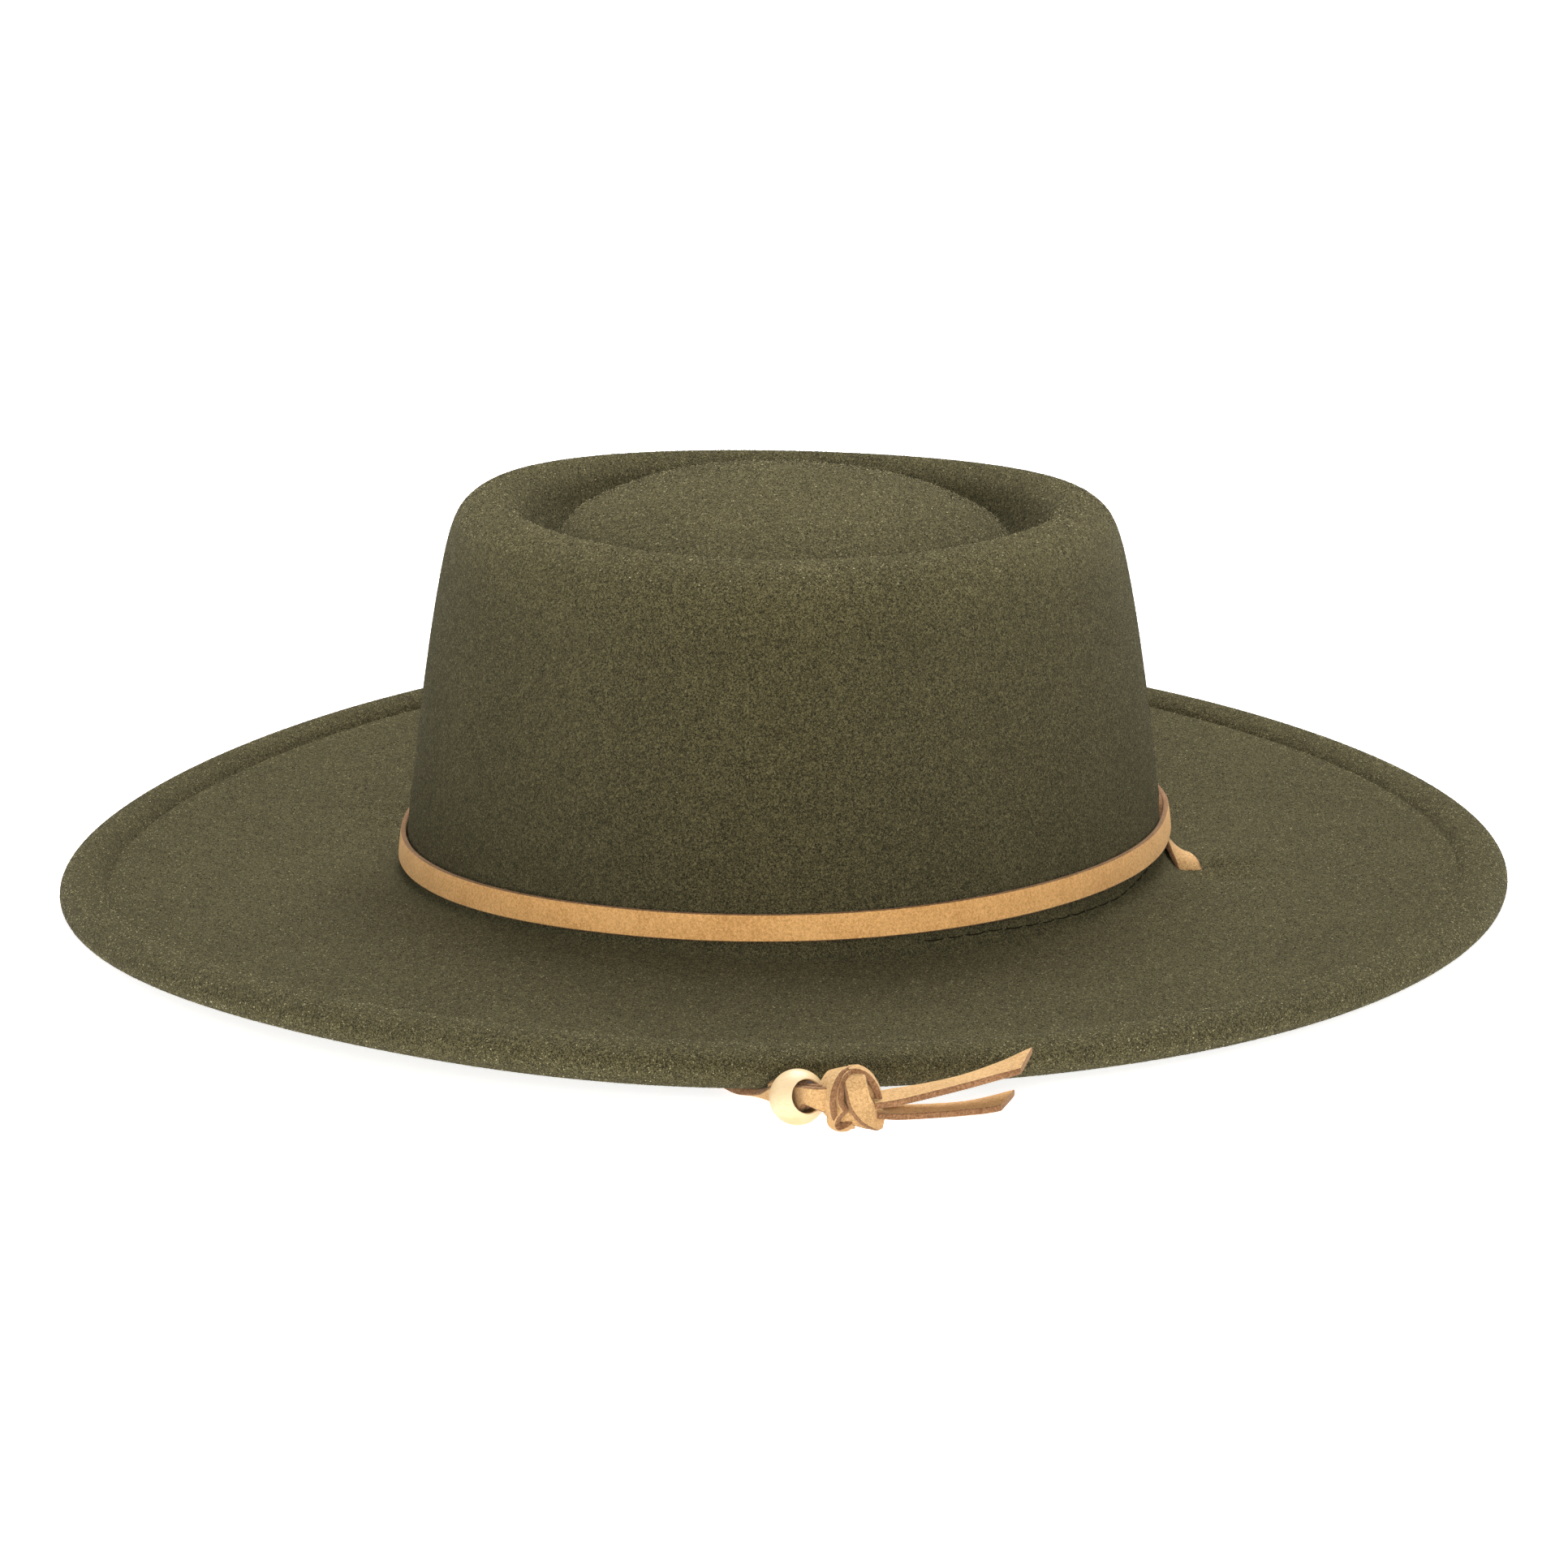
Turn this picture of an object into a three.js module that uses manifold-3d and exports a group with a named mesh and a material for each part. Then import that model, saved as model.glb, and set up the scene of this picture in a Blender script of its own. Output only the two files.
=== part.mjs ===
// A wide-brimmed wool felt hat with a telescope crown, a tan suede band round its foot and a suede chin lace
// that ends in a wooden bead, a knot and two tails. Millimetres, +Z up, the wearer's front toward -Y. The origin
// is on the surface that the hat rests on, under the middle of the brim.
import * as THREE from "three";
import { mergeVertices } from "three/addons/utils/BufferGeometryUtils.js";
import Module from "manifold-3d";

const wasm = await Module();
wasm.setup();

// Felt body
const BRIM_HALF_WIDTH = 166;
const BRIM_HALF_DEPTH = 183;
const CROWN_WALL = 2.5;
const BRIM_WALL = 3;
const ROLL_RADIUS = 5.7; // half the width of the thick rolled edge
const ROLL_HALF_HEIGHT = 4.1;
const REST_FLAT = 0.6; // how far the lowest stretches of the edge are pressed flat
const AROUND = 56; // facets round the hat

// Height of the brim's middle surface over its mean level at an angle, as a short series
const BRIM_WAVE = [
  { order: 1, cos_mm: -0.9, sin_mm: 0 },
  { order: 2, cos_mm: -2.9, sin_mm: -0.3 },
  { order: 3, cos_mm: 1.2, sin_mm: -0.7 },
];

// How much the top of the crown leans: its left and its front stand a little higher, and it stands to the right
const CROWN_LEAN = [
  { order: 1, cos_mm: -1.2, sin_mm: -3.7 },
  { order: 2, cos_mm: 1.2, sin_mm: 0 },
];
const CROWN_SHIFT = 0.45;

// The rolled edge hangs a little lower on the left of the front
const ROLL_SAG = 1.3;
const SAG_ANGLE = 265; // degrees
const SAG_SPREAD = 20;

// The felt's outer face from the middle of the dome down to the brim. Height is over the brim's middle surface.
const FELT_PROFILE = [
  // half_width, half_depth, height, share of the lean, share of the brim's wave
  [0, 0, 91.1, 0, 0],
  [16, 20.5, 89.9, 0.3, 0],
  [33, 42, 85.7, 0.6, 0],
  [46.3, 57.6, 79.6, 0.85, 0],
  [51.4, 63.4, 74.4, 1, 0],
  [54.4, 66.6, 70, 1, 0],
  [57.8, 70, 74.5, 1, 0],
  [61, 73.4, 80.6, 1, 0],
  [66.4, 79, 83.8, 1, 0],
  [72.3, 84.6, 81.4, 1, 0],
  [76.1, 89, 75.2, 1, 0],
  [79.4, 93.4, 61, 0.8, 0.15],
  [82.5, 98.4, 42, 0.5, 0.4],
  [84.9, 102.4, 24, 0.25, 0.75],
  [86.3, 104.5, 13, 0.1, 0.95],
  [86.5, 105, 8, 0, 1],
  [87.2, 106, 4.9, 0, 1],
  [89.4, 109, 2.8, 0, 1],
  [93.5, 114, 1.9, 0, 1],
  [101, 121, 1.5, 0, 1],
  [128, 147, 1.5, 0, 1],
  [151, 168, 1.5, 0, 1],
];
const PROFILE_STEPS = 25;
const ROLL_STEPS = 11;
const PROFILE_BEND_WEIGHT = 14; // millimetres of run that one radian of bend counts as
const SPLINE_SAMPLES = 40; // fine steps between two rows of the profile
const FOOT_TO_BRIM = [86, 96]; // half widths between which the wall thickens from the crown's to the brim's
const CREASE_SHARE = 0.8; // how much of the brim's thickness the crease beside the roll keeps

// Suede lace, cut flat: one width and thickness for the band, the chin lace and its tails
const LACE_WIDTH = 6;
const LACE_THICK = 1.4;
const LACE_CHAMFER = 0.25;
const LACE_BEND_WEIGHT = 8; // millimetres of run that one radian of bend counts as
const TOUCH = 0.35; // gap kept between pieces that touch

// Band round the crown's foot: the height of its middle over the brim's middle surface, higher on the right
const BAND_RIDE = [
  { order: 0, cos_mm: 10.05, sin_mm: 0 },
  { order: 1, cos_mm: 1.76, sin_mm: 0.65 },
  { order: 2, cos_mm: 0.42, sin_mm: -0.65 },
  { order: 3, cos_mm: -0.3, sin_mm: -0.08 },
];
const BAND_CONE = 7; // degrees that its face leans inward at the top
const BAND_STEPS = 72;

// Chin lace: it runs round the back of the crown behind the band, down through a slit on each side, and lies on
// the surface under the brim to the bead. The right slit is at the side, the left one further back.
const SLITS = [
  { x: 94, y: 1.9, turn_deg: 0 },
  { x: -90.6, y: 28.9, turn_deg: -8 },
];
const SLIT_LONG = 7.6;
const SLIT_ACROSS = 4.4;
const SLIT_DEEP = 30; // cuts right through the brim

// Angles round the crown, from its right side over the back, where the lace behind the band ends
const BACK_LACE_FROM = 25.2;
const BACK_LACE_TO = 145.1;
const BACK_LACE_STEPS = 24;

// Bead, knot and tails in front of the brim
const BEAD_RADIUS = 5.75;
const BEAD_BORE = 3.9;
const BEAD_AT = [25.6, -189.9];
const BEAD_AXIS = [0.57, -0.82];
const KNOT_AT = [37.3, -191.2, 6.4];
const KNOT_HALF = [5.6, 6.1, 6.3];

const UP = new THREE.Vector3(0, 0, 1);
const SMALL_TURN = 0.01; // radians, for slopes
const series = (rows, angle) =>
  rows.reduce((sum, r) => sum + r.cos_mm * Math.cos(r.order * angle) + r.sin_mm * Math.sin(r.order * angle), 0);
const brimWave = (angle) => series(BRIM_WAVE, angle);
const crownLean = (angle) => series(CROWN_LEAN, angle);
const bandRide = (angle) => series(BAND_RIDE, angle);

// The brim's lowest stretches are at its left and right: its middle surface stands this high at mean level
const LOWEST_WAVE = Math.min(...Array.from({ length: 360 }, (_, i) => brimWave((i * Math.PI) / 180)));
const BRIM_LEVEL = ROLL_HALF_HEIGHT - LOWEST_WAVE - REST_FLAT;

// Places along a dense run of points, as fractions of its last index, with more of them where it bends
function spreadSteps(points, steps, bendWeight) {
  const cost = [0];
  for (let i = 1; i < points.length; i++) {
    const run = points[i].clone().sub(points[i - 1]);
    const next = i + 1 < points.length ? points[i + 1].clone().sub(points[i]) : run;
    cost.push(cost[i - 1] + run.length() + bendWeight * (run.angleTo(next) || 0));
  }
  const places = [];
  let j = 0;
  for (let s = 0; s <= steps; s++) {
    const want = (cost[cost.length - 1] * s) / steps;
    while (j < points.length - 2 && cost[j + 1] < want) j++;
    places.push(Math.min(1, (j + (want - cost[j]) / (cost[j + 1] - cost[j] || 1)) / (points.length - 1)));
  }
  return places;
}

// Rows on a smooth curve through the given rows of numbers
function smoothRows(rows, steps, bendWeight) {
  const at = (i) => rows[Math.min(Math.max(i, 0), rows.length - 1)];
  const rowAt = (u) => {
    const place = Math.min(u * (rows.length - 1), rows.length - 1 - 1e-9);
    const i = Math.floor(place);
    const t = place - i;
    return rows[i].map((_, c) => {
      const [p0, p1, p2, p3] = [at(i - 1)[c], at(i)[c], at(i + 1)[c], at(i + 2)[c]];
      const cubic = (3 * p1 - p0 - 3 * p2 + p3) * t * t * t;
      return 0.5 * (2 * p1 + (p2 - p0) * t + (2 * p0 - 5 * p1 + 4 * p2 - p3) * t * t + cubic);
    });
  };
  const samples = SPLINE_SAMPLES * rows.length;
  const dense = Array.from({ length: samples + 1 }, (_, i) => rowAt(i / samples));
  const section = dense.map((r) => new THREE.Vector3(r[0], 0, r[2]));
  return spreadSteps(section, steps, bendWeight).map(rowAt);
}

// The felt's inner face: each row moved inward by the wall, square to the profile in both half sections
function innerRows(outer) {
  return outer.map((row, i) => {
    const before = outer[Math.max(i - 1, 0)];
    const after = outer[Math.min(i + 1, outer.length - 1)];
    const rise = after[2] - before[2];
    const wide = after[0] - before[0];
    const deep = after[1] - before[1];
    const long = Math.hypot(wide, rise);
    const longDeep = Math.hypot(deep, rise);
    const flat = THREE.MathUtils.smoothstep(row[0], ...FOOT_TO_BRIM);
    const wall = CROWN_WALL + (BRIM_WALL - CROWN_WALL) * flat;
    const drop = (wide / long + deep / longDeep) / 2;
    return [
      Math.max(0, row[0] + (wall * rise) / long),
      Math.max(0, row[1] + (wall * rise) / longDeep),
      row[2] - wall * drop,
      row[3],
      row[4],
    ];
  });
}

// The thick edge: from the crease on top, over its crest, round the outside and back under to the crease below
function rollRows() {
  const rows = [];
  const creaseAngle = Math.PI - Math.asin((CREASE_SHARE * BRIM_WALL) / 2 / ROLL_HALF_HEIGHT);
  for (let i = 0; i <= ROLL_STEPS; i++) {
    const turn = creaseAngle * (1 - (2 * i) / ROLL_STEPS);
    const inward = ROLL_RADIUS * (Math.cos(turn) - 1);
    const height = ROLL_HALF_HEIGHT * Math.sin(turn);
    rows.push([BRIM_HALF_WIDTH + inward, BRIM_HALF_DEPTH + inward, height, 0, 1, Math.max(0, -Math.sin(turn))]);
  }
  return rows;
}

// A point of the felt for a row of the profile at an angle round the hat
function feltPoint(row, angle) {
  const [wide, deep, height, lean, wave, underside = 0] = row;
  const fromSag = (THREE.MathUtils.radToDeg(angle) - SAG_ANGLE) / SAG_SPREAD;
  const sag = underside * ROLL_SAG * Math.exp(-(fromSag ** 2));
  const z = BRIM_LEVEL + height + lean * crownLean(angle) + wave * brimWave(angle) - sag;
  return [wide * Math.cos(angle) + lean * CROWN_SHIFT, deep * Math.sin(angle), Math.max(0, z)];
}

// A closed mesh from rows of corner positions and triangles
function meshGeometry(points, faces) {
  const geometry = new THREE.BufferGeometry();
  geometry.setAttribute("position", new THREE.Float32BufferAttribute(points.flat(), 3));
  geometry.setIndex(faces.flat());
  return geometry;
}

// Quads between neighbouring rings of `count` corners, the first corner of ring r at start(r)
function ringFaces(rings, count, closed) {
  const faces = [];
  for (let r = 0; r < (closed ? rings : rings - 1); r++) {
    const [low, high] = [r * count, ((r + 1) % rings) * count];
    for (let k = 0; k < count; k++) {
      const next = (k + 1) % count;
      faces.push([low + k, high + k, high + next], [low + k, high + next, low + next]);
    }
  }
  return faces;
}

function toSolid(geometry) {
  const bare = mergeVertices(geometry, 1e-4);
  return new wasm.Manifold(
    new wasm.Mesh({
      numProp: 3,
      vertProperties: bare.attributes.position.array,
      triVerts: new Uint32Array(bare.index.array),
    }),
  );
}

function fromSolid(solid) {
  const mesh = solid.getMesh();
  const geometry = new THREE.BufferGeometry();
  geometry.setAttribute("position", new THREE.BufferAttribute(mesh.vertProperties, 3));
  geometry.setIndex(new THREE.BufferAttribute(mesh.triVerts, 1));
  return geometry;
}

function feltBody() {
  const outer = smoothRows(FELT_PROFILE, PROFILE_STEPS, PROFILE_BEND_WEIGHT);
  const inner = innerRows(outer).reverse();
  const rows = [...outer.slice(1), ...rollRows(), ...inner.slice(0, -1)];
  const points = [];
  for (const row of rows) {
    for (let k = 0; k < AROUND; k++) points.push(feltPoint(row, (2 * Math.PI * k) / AROUND));
  }
  const faces = ringFaces(rows.length, AROUND, false);
  const top = points.push(feltPoint(outer[0], 0)) - 1;
  const under = points.push(feltPoint(inner[inner.length - 1], 0)) - 1;
  const last = (rows.length - 1) * AROUND;
  for (let k = 0; k < AROUND; k++) {
    const next = (k + 1) % AROUND;
    faces.push([top, k, next], [under, last + next, last + k]);
  }
  let solid = toSolid(meshGeometry(points, faces));
  for (const { x, y, turn_deg } of SLITS) {
    const slit = new THREE.BoxGeometry(SLIT_LONG, SLIT_ACROSS, SLIT_DEEP);
    slit.deleteAttribute("normal");
    slit.deleteAttribute("uv");
    slit.rotateZ(THREE.MathUtils.degToRad(turn_deg));
    slit.translate(x, y, BRIM_LEVEL);
    solid = solid.subtract(toSolid(slit));
  }
  return fromSolid(solid);
}

// Corners of the lace's section: across its width and through its thickness
function laceSection() {
  const [w, t, c] = [LACE_WIDTH / 2, LACE_THICK / 2, LACE_CHAMFER];
  return [[w, t - c], [w - c, t], [c - w, t], [-w, t - c], [-w, c - t], [c - w, -t], [w - c, -t], [w, c - t]];
}

// A lace through stations: a place, the direction along and the direction of its width. Its end is square, or
// cut at a slant: its sections turn towards the slant over the last stretch.
function laceGeometry(stations, closed = false, slant = 0) {
  const count = stations.length;
  const end = stations[count - 1].at;
  const points = [];
  stations.forEach(({ at, along, wide }) => {
    const across = wide.clone().addScaledVector(along, -wide.dot(along)).normalize();
    const through = along.clone().cross(across);
    const shift = slant * Math.max(0, 1 - at.distanceTo(end) / SLANT_RUN);
    for (const [w, t] of laceSection()) {
      const corner = at.clone().addScaledVector(across, w).addScaledVector(through, t);
      points.push(corner.addScaledVector(along, (shift * w) / LACE_WIDTH).toArray());
    }
  });
  const sides = laceSection().length;
  const faces = ringFaces(count, sides, closed).map(([a, b, c]) => [a, c, b]);
  if (!closed) {
    for (let k = 1; k < sides - 1; k++) {
      faces.push([0, k + 1, k]);
      const last = (count - 1) * sides;
      faces.push([last, last + k, last + k + 1]);
    }
  }
  const geometry = meshGeometry(points, faces);
  return toSolid(geometry).volume() < 0 ? meshGeometry(points, faces.map(([a, b, c]) => [a, c, b])) : geometry;
}

// Stations along a smooth curve through rows of a place and a width direction. A row without a direction has
// the lace lying flat.
function laceStations(rows, steps) {
  const places = rows.map((r) => new THREE.Vector3(...r.slice(0, 3)));
  const curve = new THREE.CatmullRomCurve3(places, false, "centripetal");
  const wides = [];
  rows.forEach((row, i) => {
    const along = curve.getTangent(i / (rows.length - 1));
    const wide = row.length > 3 ? new THREE.Vector3(...row.slice(3)) : UP.clone().cross(along).normalize();
    if (i && wide.dot(wides[i - 1]) < 0) wide.negate();
    wides.push(wide);
  });
  const dense = curve.getPoints(SPLINE_SAMPLES * rows.length);
  return spreadSteps(dense, steps, LACE_BEND_WEIGHT).map((u) => {
    const place = Math.min(u * (rows.length - 1), rows.length - 1 - 1e-6);
    const low = Math.floor(place);
    const wide = wides[low].clone().lerp(wides[low + 1], place - low);
    return { at: curve.getPoint(u), along: curve.getTangent(u), wide };
  });
}

// Half width and half depth of the crown's outer face at a height over the brim's middle surface
function crownAt(height) {
  const rows = FELT_PROFILE.filter((r) => r[0] > 75 && r[0] < 100);
  const low = rows.findIndex((r) => r[2] <= height);
  const [above, below] = [rows[low - 1], rows[low]];
  const t = (above[2] - height) / (above[2] - below[2]);
  return [above[0] + (below[0] - above[0]) * t, above[1] + (below[1] - above[1]) * t];
}

// A station of a lace laid round the crown, `off` clear of the wall and `rise` above its usual height
function roundCrown(angle, off, rise = 0) {
  const height = bandRide(angle);
  const cone = Math.tan((BAND_CONE * Math.PI) / 180);
  const slope = (LACE_WIDTH / 2) * cone;
  const low = crownAt(height - LACE_WIDTH / 2);
  const high = crownAt(height + LACE_WIDTH / 2);
  const [wide, deep] = low.map((size, i) => Math.max(size - slope, high[i] + slope));
  const out = new THREE.Vector3(Math.cos(angle) / wide, Math.sin(angle) / deep, 0).normalize();
  const mid = off + LACE_THICK / 2;
  const z = BRIM_LEVEL + brimWave(angle) + height + rise;
  const pace = Math.hypot(wide * Math.sin(angle), deep * Math.cos(angle));
  const along = UP.clone().cross(out).multiplyScalar(pace);
  const heightAt = (a) => brimWave(a) + bandRide(a);
  along.z = (heightAt(angle + SMALL_TURN) - heightAt(angle - SMALL_TURN)) / (2 * SMALL_TURN);
  return {
    at: new THREE.Vector3(wide * Math.cos(angle), deep * Math.sin(angle), z).addScaledVector(out, mid),
    along: along.normalize(),
    wide: UP.clone().addScaledVector(out, -cone).normalize(),
  };
}

// The band lies close on the front of the crown and over the chin lace at the back. It stands off further where
// the chin lace comes out from under it. Angles in degrees, from the right side over the back.
const LACE_OUT_ANGLES = [13.5, 157];
const LACE_OUT_SPREAD = 9;
const LACE_OUT_LIFT = 3.2;
const LACE_OUT_RISE = 0.5;
const OVER_LACE_FROM = [6, 22];
const OVER_LACE_TO = [160, 176];

function crownBand() {
  const { smoothstep, radToDeg } = THREE.MathUtils;
  const stations = [];
  for (let i = 0; i < BAND_STEPS; i++) {
    const angle = (2 * Math.PI * i) / BAND_STEPS;
    const turn = radToDeg(angle);
    const behind = turn < 90 ? smoothstep(turn, ...OVER_LACE_FROM) : 1 - smoothstep(turn, ...OVER_LACE_TO);
    const near = LACE_OUT_ANGLES.map((at) => Math.exp(-(((turn - at) / LACE_OUT_SPREAD) ** 2)));
    const lift = near[0] + near[1];
    const off = TOUCH + behind * (LACE_THICK + TOUCH) + lift * LACE_OUT_LIFT;
    stations.push(roundCrown(angle, off, lift * LACE_OUT_RISE));
  }
  return laceGeometry(stations, true);
}

function chinLaceBack() {
  const stations = [];
  for (let i = 0; i <= BACK_LACE_STEPS; i++) {
    const turn = THREE.MathUtils.lerp(BACK_LACE_FROM, BACK_LACE_TO, i / BACK_LACE_STEPS);
    stations.push(roundCrown(THREE.MathUtils.degToRad(turn), TOUCH));
  }
  return laceGeometry(stations);
}

// Route of the chin lace's free stretches: place, then direction of the lace's width. The first row is behind
// the band, the next ones lead out from under it and down through the slit, and the last row is short of the knot.
const FLOOR_Z = LACE_THICK / 2 + 0.1;
const RIGHT_ROUTE = [
  [80.1, 44.4, 15, 0, 0, -1],
  [82.6, 37.2, 14.8, 0.05, 0, -1],
  [84.8, 30, 14.3, 0.08, 0, -1],
  [86.6, 23, 13.4, 0.1, 0, -1],
  [87.5, 16.5, 11.8, 0.32, 0, -0.95],
  [89.3, 11, 9.4, 0.62, 0, -0.78],
  [91.5, 6.8, 8.5, 0.88, 0, -0.47],
  [93.4, 3.8, 7.1, 0.98, 0, -0.15],
  [94, 1.7, 4.2, 1, 0, 0],
  [94.1, 1.2, 2.3, 1, 0, 0],
  [94.2, 0, 1.4, 1, 0, 0],
  [94.4, -1.8, 0.95],
  [95, -8, FLOOR_Z],
  [95.8, -20, FLOOR_Z],
  [94.6, -38, FLOOR_Z],
  [87, -64, FLOOR_Z],
  [70, -92, FLOOR_Z],
  [44, -116, FLOOR_Z],
  [19, -131, FLOOR_Z + 0.6],
  [6.5, -145, FLOOR_Z + 2],
  [6.5, -159, FLOOR_Z + 2],
  [11.5, -171, FLOOR_Z + 1.9],
  [17, -179.5, FLOOR_Z + 1.95],
  [23, -186.2, 6.75],
  [25.6, -189.9, 6.75],
  [28.1, -193.5, 6.75],
  [29.1, -194.9, 6.75],
];
const LEFT_ROUTE = [
  [-72.95, 59.95, 16, 0, 0, -1],
  [-77, 53.8, 15.2, -0.15, 0.02, -0.98],
  [-80.7, 47.7, 13.5, -0.4, 0.05, -0.9],
  [-84, 42.4, 11.2, -0.72, 0.1, -0.68],
  [-86.5, 37.6, 9.6, -0.88, 0.12, -0.45],
  [-88.4, 33.2, 8.6, -0.93, 0.13, -0.33],
  [-89.8, 30.2, 7.3, -0.97, 0.14, -0.2],
  [-90.5, 28.6, 4.8, -0.99, 0.14, 0],
  [-90.65, 28.1, 2.9, -0.99, 0.14, 0],
  [-90.95, 27, 1.7, -0.99, 0.14, 0],
  [-91.4, 25, 1.05],
  [-92.4, 18.5, FLOOR_Z],
  [-94, 6, FLOOR_Z],
  [-95, -12, FLOOR_Z],
  [-94, -38, FLOOR_Z],
  [-86, -68, FLOOR_Z],
  [-67, -97, FLOOR_Z],
  [-38, -121, FLOOR_Z],
  [-12, -139, FLOOR_Z],
  [2.5, -155, FLOOR_Z],
  [11.5, -171, FLOOR_Z + 0.1],
  [17, -179.5, FLOOR_Z + 0.3],
  [23, -186.2, 4.75],
  [25.6, -189.9, 4.75],
  [28.1, -193.5, 4.75],
  [29.1, -194.9, 4.75],
];
const FREE_LACE_STEPS = 64;

// The two tails, from the knot to their slanted ends
const UPPER_TAIL_ROUTE = [
  [43.9, -190.4, 6.3, 0.54, -0.84, -0.14],
  [52.2, -185.4, 6.8, 0.54, -0.84, 0],
  [59.6, -180.3, 7.5, 0.56, -0.83, 0.05],
  [66.4, -175, 8.6, 0.6, -0.8, 0],
  [70.5, -171.8, 9.6, 0.62, -0.78, -0.14],
];
const LOWER_TAIL_ROUTE = [
  [43.9, -190.9, 3.6, 0.54, -0.84, -0.1],
  [52.2, -185.6, 2.5, 0.54, -0.84, -0.05],
  [59.8, -181.2, 2.1, 0.56, -0.83, 0],
  [64.4, -178.4, 2.2, 0.58, -0.81, -0.05],
  [67.1, -176.4, 2.4, 0.6, -0.8, -0.05],
];
const TAIL_STEPS = 10;
const TAIL_SLANT = -7; // how much further the edge away from the front reaches
const SLANT_RUN = 12; // length over which the sections turn to it
const BEAD_STEPS = 12;
const BEAD_SIDES = 28;
const KNOT_SIDES = [24, 14];

function bead() {
  const profile = [];
  const mouth = Math.asin(BEAD_BORE / BEAD_RADIUS);
  for (let i = 0; i <= BEAD_STEPS; i++) {
    const turn = mouth + ((Math.PI - 2 * mouth) * i) / BEAD_STEPS;
    profile.push(new THREE.Vector2(BEAD_RADIUS * Math.sin(turn), -BEAD_RADIUS * Math.cos(turn)));
  }
  profile.push(profile[0].clone());
  const geometry = new THREE.LatheGeometry(profile, BEAD_SIDES);
  geometry.deleteAttribute("normal");
  geometry.deleteAttribute("uv");
  const axis = new THREE.Vector3(...BEAD_AXIS, 0).normalize();
  geometry.applyQuaternion(new THREE.Quaternion().setFromUnitVectors(new THREE.Vector3(0, 1, 0), axis));
  return geometry;
}

function knot() {
  const geometry = new THREE.SphereGeometry(1, ...KNOT_SIDES);
  geometry.deleteAttribute("normal");
  geometry.deleteAttribute("uv");
  return geometry.scale(...KNOT_HALF);
}

const felt = new THREE.MeshStandardMaterial({ color: 0x4f4a33, roughness: 1, metalness: 0 });
const suede = new THREE.MeshStandardMaterial({ color: 0xc49a62, roughness: 0.9, metalness: 0 });
const wood = new THREE.MeshStandardMaterial({ color: 0xecdcb0, roughness: 0.45, metalness: 0 });

function piece(name, geometry, material, at = [0, 0, 0]) {
  const mesh = new THREE.Mesh(geometry, material);
  mesh.name = name;
  mesh.position.set(...at);
  return mesh;
}

const hat = new THREE.Group();
hat.add(piece("felt_body", feltBody(), felt));
hat.add(piece("crown_band", crownBand(), suede));

const chinLace = new THREE.Group();
chinLace.add(piece("chin_lace_back", chinLaceBack(), suede));
chinLace.add(piece("chin_lace_right", laceGeometry(laceStations(RIGHT_ROUTE, FREE_LACE_STEPS)), suede));
chinLace.add(piece("chin_lace_left", laceGeometry(laceStations(LEFT_ROUTE, FREE_LACE_STEPS)), suede));
chinLace.add(piece("bead", bead(), wood, [...BEAD_AT, BEAD_RADIUS]));
chinLace.add(piece("knot", knot(), suede, KNOT_AT));
const tail = (route) => laceGeometry(laceStations(route, TAIL_STEPS), false, TAIL_SLANT);
chinLace.add(piece("tail_upper", tail(UPPER_TAIL_ROUTE), suede));
chinLace.add(piece("tail_lower", tail(LOWER_TAIL_ROUTE), suede));
hat.add(chinLace);

export default hat;
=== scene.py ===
"""A wide-brimmed wool felt hat with a telescope crown, dressed over its frame.

The felt body, its nap, the suede band, the chin lace with its bead and knot, and the stitches at the
crown's foot are made here in millimetres and placed in the frame in metres.
"""
import math

import bmesh
import bpy
import numpy as np
from mathutils import Matrix, Vector


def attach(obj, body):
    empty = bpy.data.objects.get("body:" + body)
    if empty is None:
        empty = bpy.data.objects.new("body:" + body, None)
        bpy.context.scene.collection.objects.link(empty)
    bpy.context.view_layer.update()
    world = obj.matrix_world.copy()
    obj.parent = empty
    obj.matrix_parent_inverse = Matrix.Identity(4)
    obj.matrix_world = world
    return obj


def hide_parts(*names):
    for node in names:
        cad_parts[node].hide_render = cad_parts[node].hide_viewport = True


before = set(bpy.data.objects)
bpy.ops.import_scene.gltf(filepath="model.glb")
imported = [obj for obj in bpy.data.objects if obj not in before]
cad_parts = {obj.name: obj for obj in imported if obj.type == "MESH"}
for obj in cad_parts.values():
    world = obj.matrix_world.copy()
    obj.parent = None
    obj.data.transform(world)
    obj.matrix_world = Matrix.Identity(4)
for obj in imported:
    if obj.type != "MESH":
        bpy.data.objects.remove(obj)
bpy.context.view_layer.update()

MM = 0.001

# Photograph's frame and the camera that fits it
PHOTO_PX = 1932
PX_PER_MM = 5.33  # at the brim's middle
BRIM_CENTRE_PX = (967.9, 1051.5)
CAMERA_DISTANCE = 1500.0
CAMERA_ELEVATION = 14.64
CAMERA_TURN = 7.0  # degrees from the hat's front toward its right side
CAMERA_ROLL = -0.28
SENSOR_WIDTH = 36.0
CLIP_START, CLIP_END = 0.05, 30.0

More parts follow.
